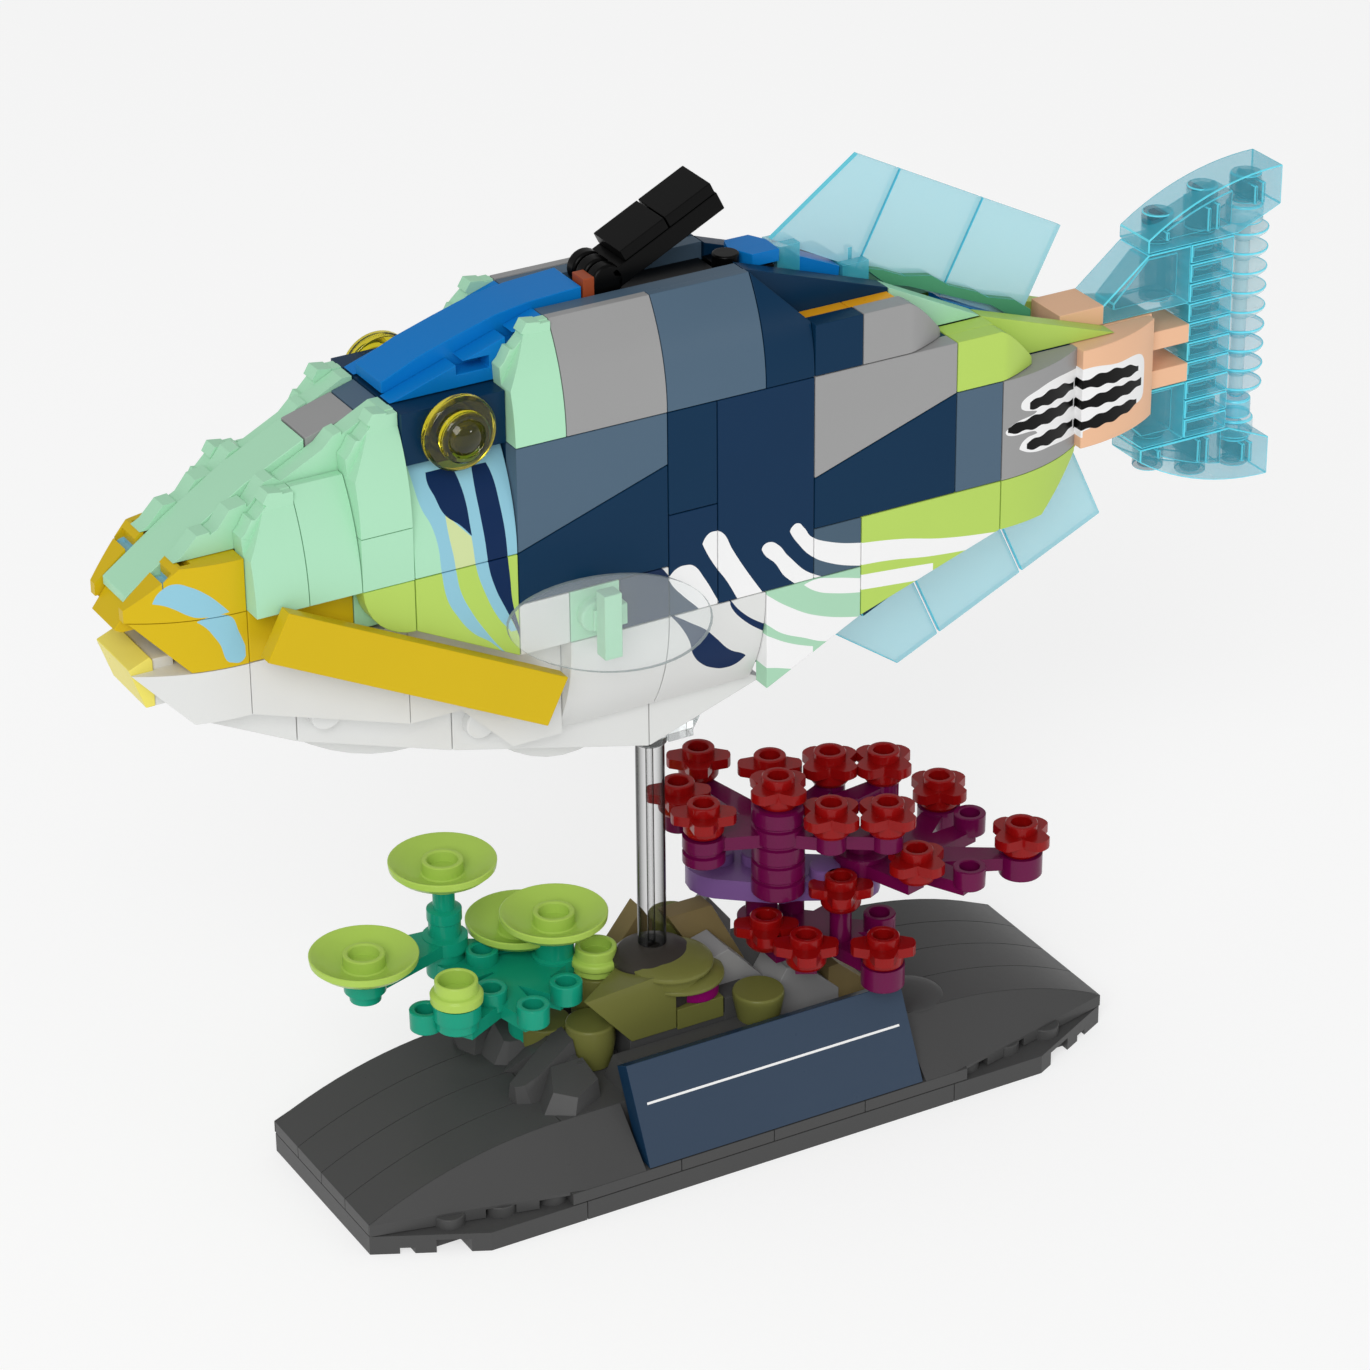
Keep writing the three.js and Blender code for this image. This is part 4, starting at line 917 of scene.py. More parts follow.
class TRIGGERFISH_OT_belly(Build):
    """White belly slopes, jaw plates and keel"""
    bl_idname = "triggerfish.belly"
    bl_label = "Belly"

    def build(self):
        both_sides([
            slope_rows(1, 3, 4, 6, LAYER[1], "white_with_strokes"),
            slope_rows(3, 5, 4, 6, LAYER[1], "white_with_strokes"),
        ], "belly_slopes", "belly")
        chin = grid_cut(slope_columns(3, 4, -5, -7, LAYER[0], "white"), (-7, 2.95), (-6, 4))
        plate = fused([tile(points, LAYER[1], LAYER[2], "white") for points in (
            [(-2, 3), (-1, 3), (-1, 5), (-2, 5)],
            [(-1.2, 3), (1, 3), (1, 6), (0, 6), (-1.2, 4.8)])])
        both_sides([
            chin, tile([(-5, 3), (-2, 3), (-2, 5), (-5, 4)], LAYER[1], LAYER[2], "white"), plate,
        ], "jaw_plates", "jaw")
        outlines = (
            [(-5.9, 4.05), (-4, 4.05), (-4, 5)],
            [(-4, 4.05), (-1, 4.05), (-1, 6), (-4, 5)],
            [(-1, 4.05), (3, 4.05), (3, 7), (-1, 6)],
            [(3, 4.05), (5, 4.05), (5, 6), (5.4, 6.2), (3, 7)],
        )
        pieces = [middle(points, LAYER[1], "white") for points in outlines]
        for i, j in ((-3.5, 4.5), (-0.5, 5.5)):
            for side in (-1, 1):
                stud = turned([(2.4, 7), (2.4, 8.6), (2.2, 8.8)], 0, 0, "white", 24)
                pieces.append(lying(stud, gx(i), gz(j), side))
        for centre, top, half, drop in ((-2.4, 5.45, 1.6, 0.42), (1.1, 6.4, 1.3, 0.5)):
            bow = []
            for k in range(9):
                s = -1 + k / 4
                bow.append((centre + half * s, top + 0.24 * half * s + drop * (1 - s * s)))
            bow += [(centre + half, top - 0.5), (centre - half, top - 0.9)]
            pieces.append(middle(bow, HALF, "white", 0))
        finished(joined(pieces), "keel_plates", ["keel"])


class TRIGGERFISH_OT_bars(Build):
    """Yellow bars that slant down behind the cheeks"""
    bl_idname = "triggerfish.bars"
    bl_label = "Cheek bars"

    def build(self):
        both_sides([
            prism("xz", [(-75.3, 100.8), (-32.8, 79.6), (-29.4, 86.5), (-71.8, 107.5)],
                  -16.5, -14, "yellow"),
            tile([(-5, 2), (-3, 2), (-3, 3), (-5, 3)], LAYER[1], LAYER[2], "yellow"),
        ], "bar", "cheek_bar")


class TRIGGERFISH_OT_snout(Build):
    """Mint snout ridge, the two blocks above it and the blue forehead"""
    bl_idname = "triggerfish.snout"
    bl_label = "Snout and forehead"

    def build(self):
        ridge = ridge_block([
            (-6.86, 107.9), (-6.86, 109.2), (-5.7, 115.9), (-4.58, 121.7), (-3.42, 126.3), (-3.42, 119),
            (-5.4, 107.9)], HALF, "mint")
        finished(ridge, "ridge", ["snout_ridge"])
        blocks = [
            ridge_block([(-3.39, 119.2), (-3.39, 126.4), (-2.44, 128.6), (-2.44, 119.2)], HALF, "gray"),
            ridge_block([(-2.42, 121), (-2.42, 128.7), (-1.99, 129.7), (-1.99, 121)], HALF, "slate"),
        ]
        finished(joined(blocks), "brow_blocks", ["ridge_blocks"])
        pieces = [ridge_block([
            (-1.93, 130.3), (-1.93, 132), (-1.19, 134.6), (-0.44, 136.5), (0.3, 138.2), (0.97, 139),
            (1.98, 139.5), (1.98, 130.3)], 3.95, "blue")]
        for side in (-1, 1):
            wedge = prism("xz", brick([(-2, -1), (1, -2), (1, -1)], 0.05),
                          side * LAYER[0], side * LAYER[1], "blue")
            for start, end in ((-0.69, -0.05), (0.27, 0.82)):
                at = gz(-1 - (start + 2) / 3)
                combined(wedge, box(gx(start), gx(end), side * 3, side * 8, at - 1.5, at + 0.3, "blue"))
            pieces.append(wedge)
        finished(joined(pieces), "forehead_bricks", ["forehead"])


def slanted(x, z, angle):
    """Turns places along and above a sloping line that starts at (x, z) into places on the flank."""
    along = Vector((math.cos(angle), math.sin(angle)))
    up = Vector((-along.y, along.x))

    def at(a, b):
        return (x + a * along.x + b * up.x, z + a * along.y + b * up.y)

    return at


class TRIGGERFISH_OT_spine(Build):
    """Black trigger spine on its hinge, with the small clips behind it"""
    bl_idname = "triggerfish.spine"
    bl_label = "Trigger spine"

    def build(self):
        at = slanted(-11.8, 137.2, 0.4636)
        pieces = [
            prism("xz", [at(a0, b0), at(a1, b0), at(a1, b1), at(a0, b1)], -HALF, HALF, "black")
            for a0, a1, b0, b1 in (
                (-1, 17.8, 1.3, 4.25), (1.4, 9.25, 4.35, 6.2), (9.45, 17.6, 4.35, 6.2))
        ]
        x, z = at(-2.2, 3.2)
        for near, far in ((-HALF, -1.7), (-1.2, 1.2), (1.7, HALF)):
            barrel = turned([(2.3, near), (2.6, near + 0.3), (2.6, far - 0.3), (2.3, far)], 0, 0, "black", 24)
            pieces.append(lying(barrel, x, z, 1))
        finished(joined(pieces), "spine_plates", ["trigger_spine"])
        mount = [
            box(-19.2, -17.4, -HALF, -0.6, 134.9, 140.4, "rust"),
            box(-19.2, 3.6, -HALF, HALF, 134.9, 136.1, "black"),
        ]
        finished(joined(mount), "spine_foot", ["spine_mount"])
        clip = [
            box(4.2, 11.6, -HALF, HALF, 134.9, 136.2, "black"),
            prism("xy", [(6.4, 0.4), (8.2, -3.6), (12.6, -3.6), (12.8, 0.4), (11.4, 3.2), (7.4, 3.2)],
                  136.3, 138.2, "blue"),
            turned([(1.9, 136.2), (2, 136.4), (2, 138.4), (1.8, 138.6)], 4.9, -1.6, "black", 20),
        ]
        finished(joined(clip), "back_clip", ["dorsal_clip"])


def fin_panels(at, down):
    """Three clear panels side by side, with brighter edges; the first one slants at its front."""
    panels = []
    for edge, foot, end in ((0, -8, 7.8), (8.2, 8.2, 23.9), (24.3, 24.3, 39.7)):
        outline = [at(edge, 0), at(end, 0), at(end, down), at(foot, down)]
        panels.append(edged(prism("xz", outline, -0.5, 0.5, "fin_sheet"), "fin_edge"))
    return panels


class TRIGGERFISH_OT_fins(Build):
    """Dorsal and anal fins of clear pale blue panels"""
    bl_idname = "triggerfish.fins"
    bl_label = "Dorsal and anal fins"

    def build(self):
        pieces = fin_panels(slanted(27.4, 148.5, -0.4795), -15.6)
        pieces += [
            fused([prism("xz", part, -1.7, 1.7, "green") for part in (
                [(28, 131.2), (31.8, 127.8), (35, 126.9), (35, 128.4), (31, 130.3)],
                [(34.9, 127), (42.6, 123.7), (42.6, 125.3), (39.4, 127.6), (34.9, 128.5)],
                [(42.5, 123.7), (48, 121.4), (50, 120.6), (49.5, 121.9), (47.4, 123.3), (42.5, 125.4)],
                [(49.4, 121), (54.1, 117.6), (56.9, 116.8), (56.9, 118.4), (54, 120.6), (49.4, 122)])]),
            prism("xz", [(41.4, 123.4), (50.5, 119.1), (50.5, 118.3), (41.4, 122.5)], -2.1, 2.1, "blue"),
            box(13.1, 16.8, -2.2, 2.2, 132.7, 137.8, "cyan_edge"),
            prism("xz", [(16.8, 135.6), (23.6, 132.6), (23.4, 130.4), (16.8, 133.2)], -1.9, 1.9, "blue"),
            box(24, 28.4, -2.2, 2.2, 129, 132.6, "cyan_edge"),
            turned([(0.6, 132.6), (0.6, 134.4)], 26.2, 0, "cyan_edge", 12),
        ]
        # The bevels get fin_edge, a painted highlight line round every panel.
        finished(
            joined(pieces), "dorsal_panels", ["dorsal_fin"], 0.16, 1, glint="fin_edge")
        at = slanted(35.4, 64.4, 0.4276)
        pieces = fin_panels(at, 13.6)
        pieces.append(prism(
            "xz", [at(-2, 13.4), at(34, 13.4), at(34, 11.8), at(-2, 11.8)], -1.2, 1.2, "navy"))
        # The same painted highlight lines on the bevels of the anal fin.
        finished(joined(pieces), "anal_panels", ["anal_fin"], 0.16, 1, glint="fin_edge")


class TRIGGERFISH_OT_tail(Build):
    """Clear cyan tail fin with its stack of round plates"""
    bl_idname = "triggerfish.tail"
    bl_label = "Tail fin"

    def lobe(self, centre, sign):
        """The bricks above the middle of the tail (sign 1) or below it (sign -1)."""
        def level(up):
            return centre + sign * up

        def shell(outline):
            raised = [(x, level(up)) for x, up in outline]
            return edged(prism("xz", raised, -HALF, HALF, "cyan_sheet"), "cyan_edge")

        def inside(outline):
            return prism("xz", [(x, level(up)) for x, up in outline], -2.5, 2.5, "cyan_inner")

        front, step, back = gx(14) - 0.4, gx(13) - 0.4, gx(15) - 0.6
        radius = (24 ** 2 + 7.4 ** 2) / (2 * 7.4)
        drops = [radius - math.sqrt(radius ** 2 - (24 - 2 * k) ** 2) for k in range(13)]
        arc = [(front + 2 * k, 25.6 - drop) for k, drop in enumerate(drops)]
        hollow = [(front + 2 * k, 23.4 - drops[k]) for k in range(2, 9)]
        pieces = [
            shell([(front, 16.1), *arc, (gx(17) - 0.4, 19.3), (gx(16), 16.1)]),
            inside([*hollow, (hollow[-1][0], 17), (hollow[0][0], 17)]),
            shell([(step, 6.5), (step, 9.3), (gx(14) - 0.2, 15.9), (back, 15.9), (back, 6.5)]),
            inside([(gx(13) + 2.6, 7.6), (gx(13) + 2.6, 8.6), (gx(14) + 0.6, 14.6), (gx(15) - 2, 14.6),
                    (gx(15) - 2, 7.6)]),
        ]
        for t, foot, top in (
                (3.6, 17.2, 18.6), (11, 17.2, 21), (12.6, 17.2, 21.4), (19.4, 19.8, 22.8),
                (20.8, 19.8, 23.2)):
            pieces.append(box(front + t, gx(14) + 0.2 + t, -3.4, 3.4, level(foot), level(top), "cyan_inner"))
        for i, foot, top in ((14.5, 7, 15.6), (14.5, 16.4, 21), (15.5, 16.4, 23.6), (16.5, 19.6, 24)):
            low, high = sorted((level(foot), level(top)))
            x = gx(i) - 0.3
            pieces.append(turned([(2.4, low), (2.4, high)], x, 0, "cyan_inner", 24))
            pieces.append(turned([(1.6, low + 0.2), (1.6, high - 0.2)], x, 0, "cyan_inner", 20))
        return pieces

    def build(self):
        centre = gz(1) - 2 * PLATE
        pieces = self.lobe(centre, 1) + self.lobe(centre, -1)
        for k in range(10):
            low = centre - 16 + k * PLATE
            x0, x1 = gx(15), gx(16)
            pieces += [
                edged(box(x0 - 0.5, x1 - 0.7, -HALF, HALF, low + 0.1, low + PLATE - 0.1, "cyan_sheet"),
                      "cyan_edge"),
                box(x0 + 0.7, x1 - 1.9, -2.6, 2.6, low + 0.2, low + 2, "cyan_inner"),
                turned([(2.4, low + 2.1), (2.4, low + PLATE + 1.2)], gx(15.5) - 0.6, 0, "cyan_inner", 20),
            ]
        # The bevels of the tail bricks get cyan_glint, a painted highlight.
        finished(joined(pieces), "tail_bricks", ["tail_fin"], 0.2, glint="cyan_glint")
        x = gx(16.5) - 0.3
        discs = []
        for k in range(-4, 5):
            low = centre + k * PLATE
            look = "pale_sheet" if k >= 0 else "cyan_sheet"
            dish = turned(
                [(1.1, low + 0.2), (2.6, low + 1), (3.7, low + 1.9), (3.95, low + 2.4), (3.8, low + 2.6),
                 (2.5, low + 2), (1.1, low + 1.5)], x, 0, look, 32)
            dish.data.materials.append(FINISHES["cyan_edge"])
            for face in dish.data.polygons:
                face.material_index = 1 if abs(face.normal.z) < 0.75 and k < 0 else 0
            discs.append(dish)
        for low, high, radius, look in (
                (-19.2, -16.2, 2.9, "cyan_sheet"), (-16, -13, 2.4, "cyan_edge"),
                (16.2, 19.2, 2.9, "pale_sheet"), (-12.9, 16.1, 1.1, "pale_sheet")):
            discs.append(turned(
                [(radius - 0.2, centre + low), (radius, centre + low + 0.2), (radius, centre + high - 0.2),
                 (radius - 0.2, centre + high)], x, 0, look, 28))
        # The bevels of the round plates get the same painted highlight.
        finished(joined(discs), "tail_rounds", ["tail_discs"], 0.14, glint="cyan_glint")


class TRIGGERFISH_OT_pectorals(Build):
    """Clear oval pectoral fins"""
    bl_idname = "triggerfish.pectorals"
    bl_label = "Pectoral fins"

    def build(self):
        outline = []
        c, s = math.cos(-0.25), math.sin(-0.25)
        for k in range(48):
            a = 2 * math.pi * k / 48
            u = 16.76 * math.cos(a)
            v = 7.5 * math.sin(a) * (1 + 0.1 * math.cos(a))
            outline.append((-23.77 + u * c - v * s, 94.7 + u * s + v * c))
        # The rim of the clear oval gets clear_rim, a painted darkening where a clear edge looks dark.
        oval = edged(prism("xz", outline, -19.2, -18.5, "clear_sheet"), "clear_rim")
        both_sides([oval], "pectoral", "pectoral_fin", 0.06)


def crest(x):
    """Height of the curved slopes at either end of the base."""
    rise = BASE_TOP - 5.15
    radius = (32 ** 2 + rise ** 2) / (2 * rise)
    t = min(max(abs(x) - 32, 0), 32)
    return BASE_TOP - (radius - math.sqrt(radius ** 2 - t ** 2))


def rim(x):
    """The front edge of the base, which turns in towards its ends."""
    return -24 + 7.75 * max(x - 32, 0) / 32


def facet(piece, a, b, c, keep):
    """Cuts a flat face through three points and keeps the side that holds the point keep."""
    a, b, c, keep = [Vector(v) * MM for v in (a, b, c, keep)]
    normal = (b - a).cross(c - a)
    if normal.dot(keep - a) > 0:
        normal = -normal
    take([piece])
    edit()
    slice_off(a, normal)
    bpy.ops.object.mode_set(mode="OBJECT")


def arm(start, end, wide, narrow, low, high, material):
    """A flat branch that narrows towards its end."""
    start, end = Vector(start), Vector(end)
    way = end - start
    side = Vector((-way.y, way.x)).normalized() / 2
    outline = [start + side * wide, start - side * wide, end - side * narrow, end + side * narrow]
    return prism("xy", [tuple(p) for p in outline], low, high, material)


def rounded_slab(start, end, first, last, low, high, material):
    """A flat plate with round ends."""
    start, end = Vector(start), Vector(end)
    angle = math.atan2(end.y - start.y, end.x - start.x)
    outline = []
    for centre, radius, begin in ((start, first, math.pi / 2), (end, last, -math.pi / 2)):
        for k in range(9):
            a = angle + begin + math.pi * k / 8
            outline.append((centre.x + radius * math.cos(a), centre.y + radius * math.sin(a)))
    return prism("xy", outline, low, high, material)


class TRIGGERFISH_OT_base(Build):
    """Dark gray base with long curved slopes at both ends"""
    bl_idname = "triggerfish.base"
    bl_label = "Base"

    def wedge(self, inner):
        """A wedge slope: a block is cut across, and each cut's corners are moved to the curve."""
        piece = box(inner, BASE_END, -24, -16.1, 3.3, BASE_TOP, "dark_gray")
        stations = [inner] + [32 + 31.95 * k / 12 for k in range(13)]
        take([piece])
        bpy.ops.object.mode_set(mode="EDIT")
        for x in stations[1:-1]:
            bpy.ops.mesh.select_all(action="SELECT")
            bpy.ops.mesh.bisect(plane_co=(x * MM, 0, 0), plane_no=(1, 0, 0), threshold=1e-7)
        for x in stations:
            for y, z, to_y, to_z in (
                    (-24, 3.3, rim(x), 3.3), (-24, BASE_TOP, rim(x), 5.2),
                    (-16.1, BASE_TOP, -16.02, crest(x))):
                bpy.ops.mesh.select_all(action="DESELECT")
                bpy.ops.object.mode_set(mode="OBJECT")
                for vertex in piece.data.vertices:
                    away = vertex.co / MM - Vector((x, y, z))
                    vertex.select = away.length < 0.01
                bpy.ops.object.mode_set(mode="EDIT")
                bpy.ops.transform.translate(value=(0, (to_y - y) * MM, (to_z - z) * MM))
        bpy.ops.object.mode_set(mode="OBJECT")
        edit()
        bpy.ops.mesh.quads_convert_to_tris()
        bpy.ops.object.mode_set(mode="OBJECT")
        for x0, x1 in ((34.5, 39.1), (42.5, 47), (50.5, 54.3)):
            combined(piece, box(x0, x1, -26, rim(x1) + 2.6, 2.9, 4.75, "dark_gray"))
        if inner < 32:
            combined(piece, box(inner - 1, 34.5, -26, -15, 2.9, 5.25, "dark_gray"))
        return piece

    def build(self):
        gap = seam()
        pieces = [box(-32 + gap, 32 - gap, -24, 24, 0, 3.2 - gap, "dark_gray")]
        end = prism(
            "xy", [(32 + gap, -24), (48, -24), (BASE_END, -16), (BASE_END, 16), (48, 24), (32 + gap, 24)],
            0, 3.2 - gap, "dark_gray")
        for side in (-1, 1):
            combined(end, box(50.6, 55.2, side * 19, side * 26, -1, 2.2, "dark_gray"))
            combined(end, box(58, 60, side * 16, side * 22, -1, 1, "dark_gray"))
        pieces += [end, mirrored(end, (-1, 1, 1))]
        for x0, x1 in ((-34.4, -16), (-16, 0), (0, 16), (16, 34.4)):
            for y0, y1 in ((-23.95, -16), (16, 23.95)):
                pieces.append(box(x0 + gap, x1 - gap, y0, y1, 3.2 + gap, 5.2, "dark_gray"))
        strip = []
        for k in range(15):
            x = 32 + gap + (31.95 - gap) * k / 14
            strip.append((x, crest(x)))
        strip += [(BASE_END, 3.2 + gap), (32 + gap, 3.2 + gap)]
        slope = prism("xz", strip, -8 + gap, -gap, "dark_gray")
        for y in (-8, 0, 8, 16):
            made = copied(slope, (0, y, 0))
            pieces += [made, mirrored(made, (-1, 1, 1))]
        bpy.data.objects.remove(slope)
        back = self.wedge(0.1)
        pieces += [self.wedge(26.9), mirrored(back, (1, -1, 1)), mirrored(back, (-1, -1, 1))]
        bpy.data.objects.remove(back)
        left = self.wedge(22)
        pieces.append(mirrored(left, (-1, 1, 1)))
        bpy.data.objects.remove(left)
        pieces += spread(
            turned([(2.4, 3.1), (2.4, 4.7), (2.3, 4.85)], 0, 0, "dark_gray", 20),
            [(sx * x, sy * (20.2 - (x - 36) * 0.12), 0)
             for x in (36, 44, 52) for sx in (-1, 1) for sy in (-1, 1)])
        for y in (-16, 0):
            for x in (-32, -16, 0, 16):
                pieces.append(box(x + gap, x + 16 - gap, y + gap, y + 16 - gap, 3.2, BASE_TOP, "dark_gray"))
        pieces += [
            prism("xz", [(-20.4, BASE_TOP), (-18.9, 16), (3.8, 16), (5.6, BASE_TOP)],
                  -13.8, -8.2, "dark_gray"),
            turned([(5.6, 12.6), (5.2, 12.9), (4.2, 13.25), (2.6, 13.5), (0.8, 13.6)],
                   31.4, -11, "dark_gray", 40),
        ]
        finished(joined(pieces), "base_bricks", ["stand_base"], 0.16)


class TRIGGERFISH_OT_plaque(Build):
    """Leaning plaque, bare but for one thin rule"""
    bl_idname = "triggerfish.plaque"
    bl_label = "Plaque"

    def build(self):
        plate = prism(
            "yz", [(-24, 5.42), (-16.93, 19.53), (-14.07, 18.10), (-20.41, 5.42)], -21.4, 26.3,
            "plaque_face")
        plate.data.materials.append(FINISHES["plaque_side"])
        for face in plate.data.polygons:
            face.material_index = 0 if face.normal.y < -0.7 else 1
        finished(plate, "plaque_plate", ["stand_plaque"], 0.12)


class TRIGGERFISH_OT_rod(Build):
    """Clear round rod with the small clear bracket that holds the fish"""
    bl_idname = "triggerfish.rod"
    bl_label = "Rod"

    def build(self):
        rod = turned([(2.2, 28.2), (2.2, 62.4)], -7.4, 0, "rod_wall", 48)
        core = turned([(0.6, 28.2), (0.6, 62.4)], -7.5, 0, "rod_wall", 32)
        collar = turned([(2.1, 62.4), (2.35, 62.6), (2.35, 65.3), (2.1, 65.5)], -7.13, 0, "clear", 40)
        bracket = [
            box(-5.2, -1, -1.9, 1.9, 62.6, 65.3, "clear"),
            prism("xz", [(-1, 62.6), (-0.9, 65.3), (0.6, 65.3)], -1.2, 1.2, "clear"),
        ]
        finished(joined([rod, core, collar] + bracket), "rod_tube", ["stand_rod"], 0.1)


class TRIGGERFISH_OT_hill(Build):
    """Hill of olive, tan and light gray bricks round the foot of the rod"""
    bl_idname = "triggerfish.hill"
    bl_label = "Hill"

    def build(self):
        front = prism(
            "xz", [(-23.4, 26.4), (-22.6, 27), (-7.7, 27), (-7.7, 17), (-15.4, 17)], -7.9, 0, "olive")
        facet(front, (-23.4, -7.9, 26.2), (-7.7, -7.9, 27.2), (-20, 0, 25.4), (-10, -4, 20))
        facet(front, (-23.6, -7.5, 20), (-13, 0.2, 20), (-13, 0.2, 25), (-9, -4, 20))
        pieces = [
            box(-15.6, 19, -7.7, 13.5, 12.9, 17, "dark_gray"), front,
            box(-7.5, 0.5, -7.9, 0, 16.6, 20.1, "olive"),
            box(0.8, 5.6, -7.8, -1, 12.9, 19.6, "dark_gray"),
            turned([(3.4, 20.1), (3.6, 20.4), (3.6, 22.7), (3.3, 23)], -2.6, -4.6,
                   "bright_magenta", 40),
            turned([(3.2, 23), (6.6, 23.2), (6.9, 23.4), (6.8, 23.9), (5.6, 24.8), (3.5, 25.4), (0.8, 25.6)],
                   -4.6, -3.3, "olive", 48),
            turned([(5.4, 24), (5.5, 25.6), (6.5, 25.9), (6.7, 26.3), (6.6, 26.8), (5.6, 27.3), (3.5, 27.6),
                    (0.8, 27.7)],
                   -6.5, -3.7, "olive", 48),
            turned([(6.2, 20.2), (6.4, 24), (6.4, 26.6), (5.6, 27.4), (3.8, 28), (1, 28.2)],
                   -7.8, -1.2, "umber", 48),
            prism("xz", [(0.3, 15), (0.3, 24.6), (4.3, 25.6), (9.4, 19.3), (13.4, 15)],
                  -4, 2.9, "light_gray"),
            turned([(2.7, 12.9), (3, 14.6), (4, 19.6), (4, 20.4), (3.8, 20.7)], 5.7, -9.4, "olive", 36),
            prism("xz", [(9.6, 13), (9.6, 18.4), (11.7, 21.7), (15.6, 20.4), (20.9, 15.4), (20.9, 13)],
                  -7.9, -0.6, "light_gray"),
            prism("xz", [(19.2, 13), (19.2, 19.4), (21, 19.6), (27, 14.2), (27, 13)], -7.7, 0, "tan"),
        ]
        slab = box(-1.4, 9.6, 1.4, 9, 16, 27.7, "tan")
        facet(slab, (-1, 5.3, 27.5), (6, 5.3, 27.5), (4.2, 1.9, 20), (3, 8, 20))
        facet(slab, (6.2, 5, 27.5), (9.3, 3, 20), (6.2, 9, 27.5), (3, 8, 20))
        facet(slab, (-1.2, 5, 27), (2.6, 4, 20), (-1.2, 9, 27), (3, 8, 20))
        pieces += [
            slab,
            turned([(3.4, 17), (3.6, 17.3), (3.6, 25.2), (3.4, 25.4)], 1.6, 10.2, "olive", 28),
            prism("xz", [(6.2, 14), (6.2, 23), (9, 25.2), (13, 20), (13, 14)], 11.6, 14, "light_gray"),
            prism("xz", [(-12.4, 17), (-3.8, 27.9), (-2, 25), (-2, 17)], 9.6, 13.4, "tan"),
            turned([(3.7, 12.9), (3.9, 13.2), (3.9, 23.6), (3.7, 23.8)], -15.2, 3.5, "olive", 28),
            turned([(3.5, 23.9), (3.5, 24.9), (3.95, 25.2), (3.95, 26), (3.7, 26.3), (3.2, 26.4), (3.2, 27.9),
                    (3, 28.1), (2.5, 28.1), (2.4, 27.9), (2.4, 26.4)],
                   -15.2, 3.5, "dish_lime", 36),
            turned([(3.2, 12.9), (3.8, 16.5), (3.8, 19.7), (3.6, 20)], -20.2, -3.6, "olive", 28),
            turned([(3.7, 12.9), (3.8, 13.2), (3.8, 21.8), (3.6, 22)], -14, 9.6, "umber", 28),
            turned([(3.9, 12.9), (3.9, 18.5), (3.7, 18.7)], -24.8, 2.2, "olive", 28),
        ]
        finished(joined(pieces), "hill_bricks", ["stand_hill"], 0.2)


class TRIGGERFISH_OT_rocks(Build):
    """Dark angular rocks left of the hill"""
    bl_idname = "triggerfish.rocks"
    bl_label = "Rocks"

    def build(self):
        pieces = []
        for block, keep, facets in (
                ((-33.6, -23.7, -16.2, -7.5, 12.7, 18), (-28, -11, 13), (
                    ((-33.3, -13.3, 12.8), (-29.4, -15.85, 12.8), (-31.3, -12.5, 15.6)),
                    ((-29.4, -15.85, 12.8), (-23.7, -12.4, 15.6), (-23.9, -13.2, 12.8)),
                    ((-31.3, -12.5, 15.6), (-23.7, -12.4, 15.6), (-25, -7.5, 16.7)),
                    ((-33.3, -13.3, 12.8), (-31.3, -12.5, 15.6), (-29.3, -8.1, 16.6)))),
                ((-36.2, -23.9, -10.2, -1.4, 12.7, 20), (-29, -6, 13), (
                    ((-35.6, -6.9, 15.2), (-23.9, -6.9, 18.2), (-27.5, -2.8, 17.8)),
                    ((-35.7, -6.4, 12.8), (-35.4, -8.5, 12.8), (-35.3, -7.3, 15.4)),
                    ((-35.4, -8.5, 12.8), (-32.8, -10, 12.8), (-34.2, -8.2, 15.6)),
                    ((-32.8, -10, 12.8), (-30.6, -9.4, 12.8), (-32.4, -8.5, 15.8)),
                    ((-32.9, -8.3, 15.6), (-23.9, -7.3, 18), (-29.4, -9.6, 12.8)),
                    ((-35.8, -6.4, 12.8), (-35.7, -6.6, 15.2), (-27.5, -2.4, 17.6)))),
                ((-33, -26, -2.6, 2.6, 12.7, 18), (-29, 0.6, 13), (
                    ((-32.7, 0.1, 13), (-31.8, -0.6, 13), (-30.3, -1.9, 15.4)),
                    ((-32.7, 0.2, 13), (-30.2, -1.6, 15.5), (-27.1, 1.4, 16.4)),
                    ((-32.7, 0.3, 13), (-28.3, 1.2, 15.6), (-31, 1.6, 13.4)))),
                ((-33.6, -26.4, 1.2, 7.2, 12.7, 18), (-29, 4.5, 13), (
                    ((-33.3, 2.8, 12.8), (-31.6, 1.6, 12.8), (-31.3, 3.3, 16)),
                    ((-31.6, 1.6, 12.8), (-31.3, 3, 16), (-27.7, 1.8, 16)),
                    ((-31.3, 3.1, 16), (-27.7, 2, 16.2), (-28.5, 7, 17.4)),
                    ((-33.3, 2.8, 12.8), (-31.3, 3.3, 16), (-31, 7, 17)))),
                ((-35.8, -28.2, 6.2, 11.6, 12.7, 17), (-31, 9, 13), (
                    ((-35.5, 9, 12.8), (-34.6, 6.8, 12.8), (-34, 8.6, 15.2)),
                    ((-34.6, 6.8, 12.8), (-31.2, 6.4, 12.8), (-32.6, 7.8, 15.4)),
                    ((-34, 8.4, 15.2), (-31, 7.8, 15.8), (-30, 11, 16.4)))),
                ((-31.5, -24.2, -8.6, 9.6, 12.7, 16.6), (-25, 0, 13), (
                    ((-31.5, 0, 13.2), (-31.5, 5, 13.2), (-25, 0, 16.6)),))):
            rock = box(*block, "dark_gray")
            for points in facets:
                facet(rock, *points, keep)
            pieces.append(rock)
        finished(joined(pieces), "rock_wedges", ["stand_rocks"], 0.35, 3)


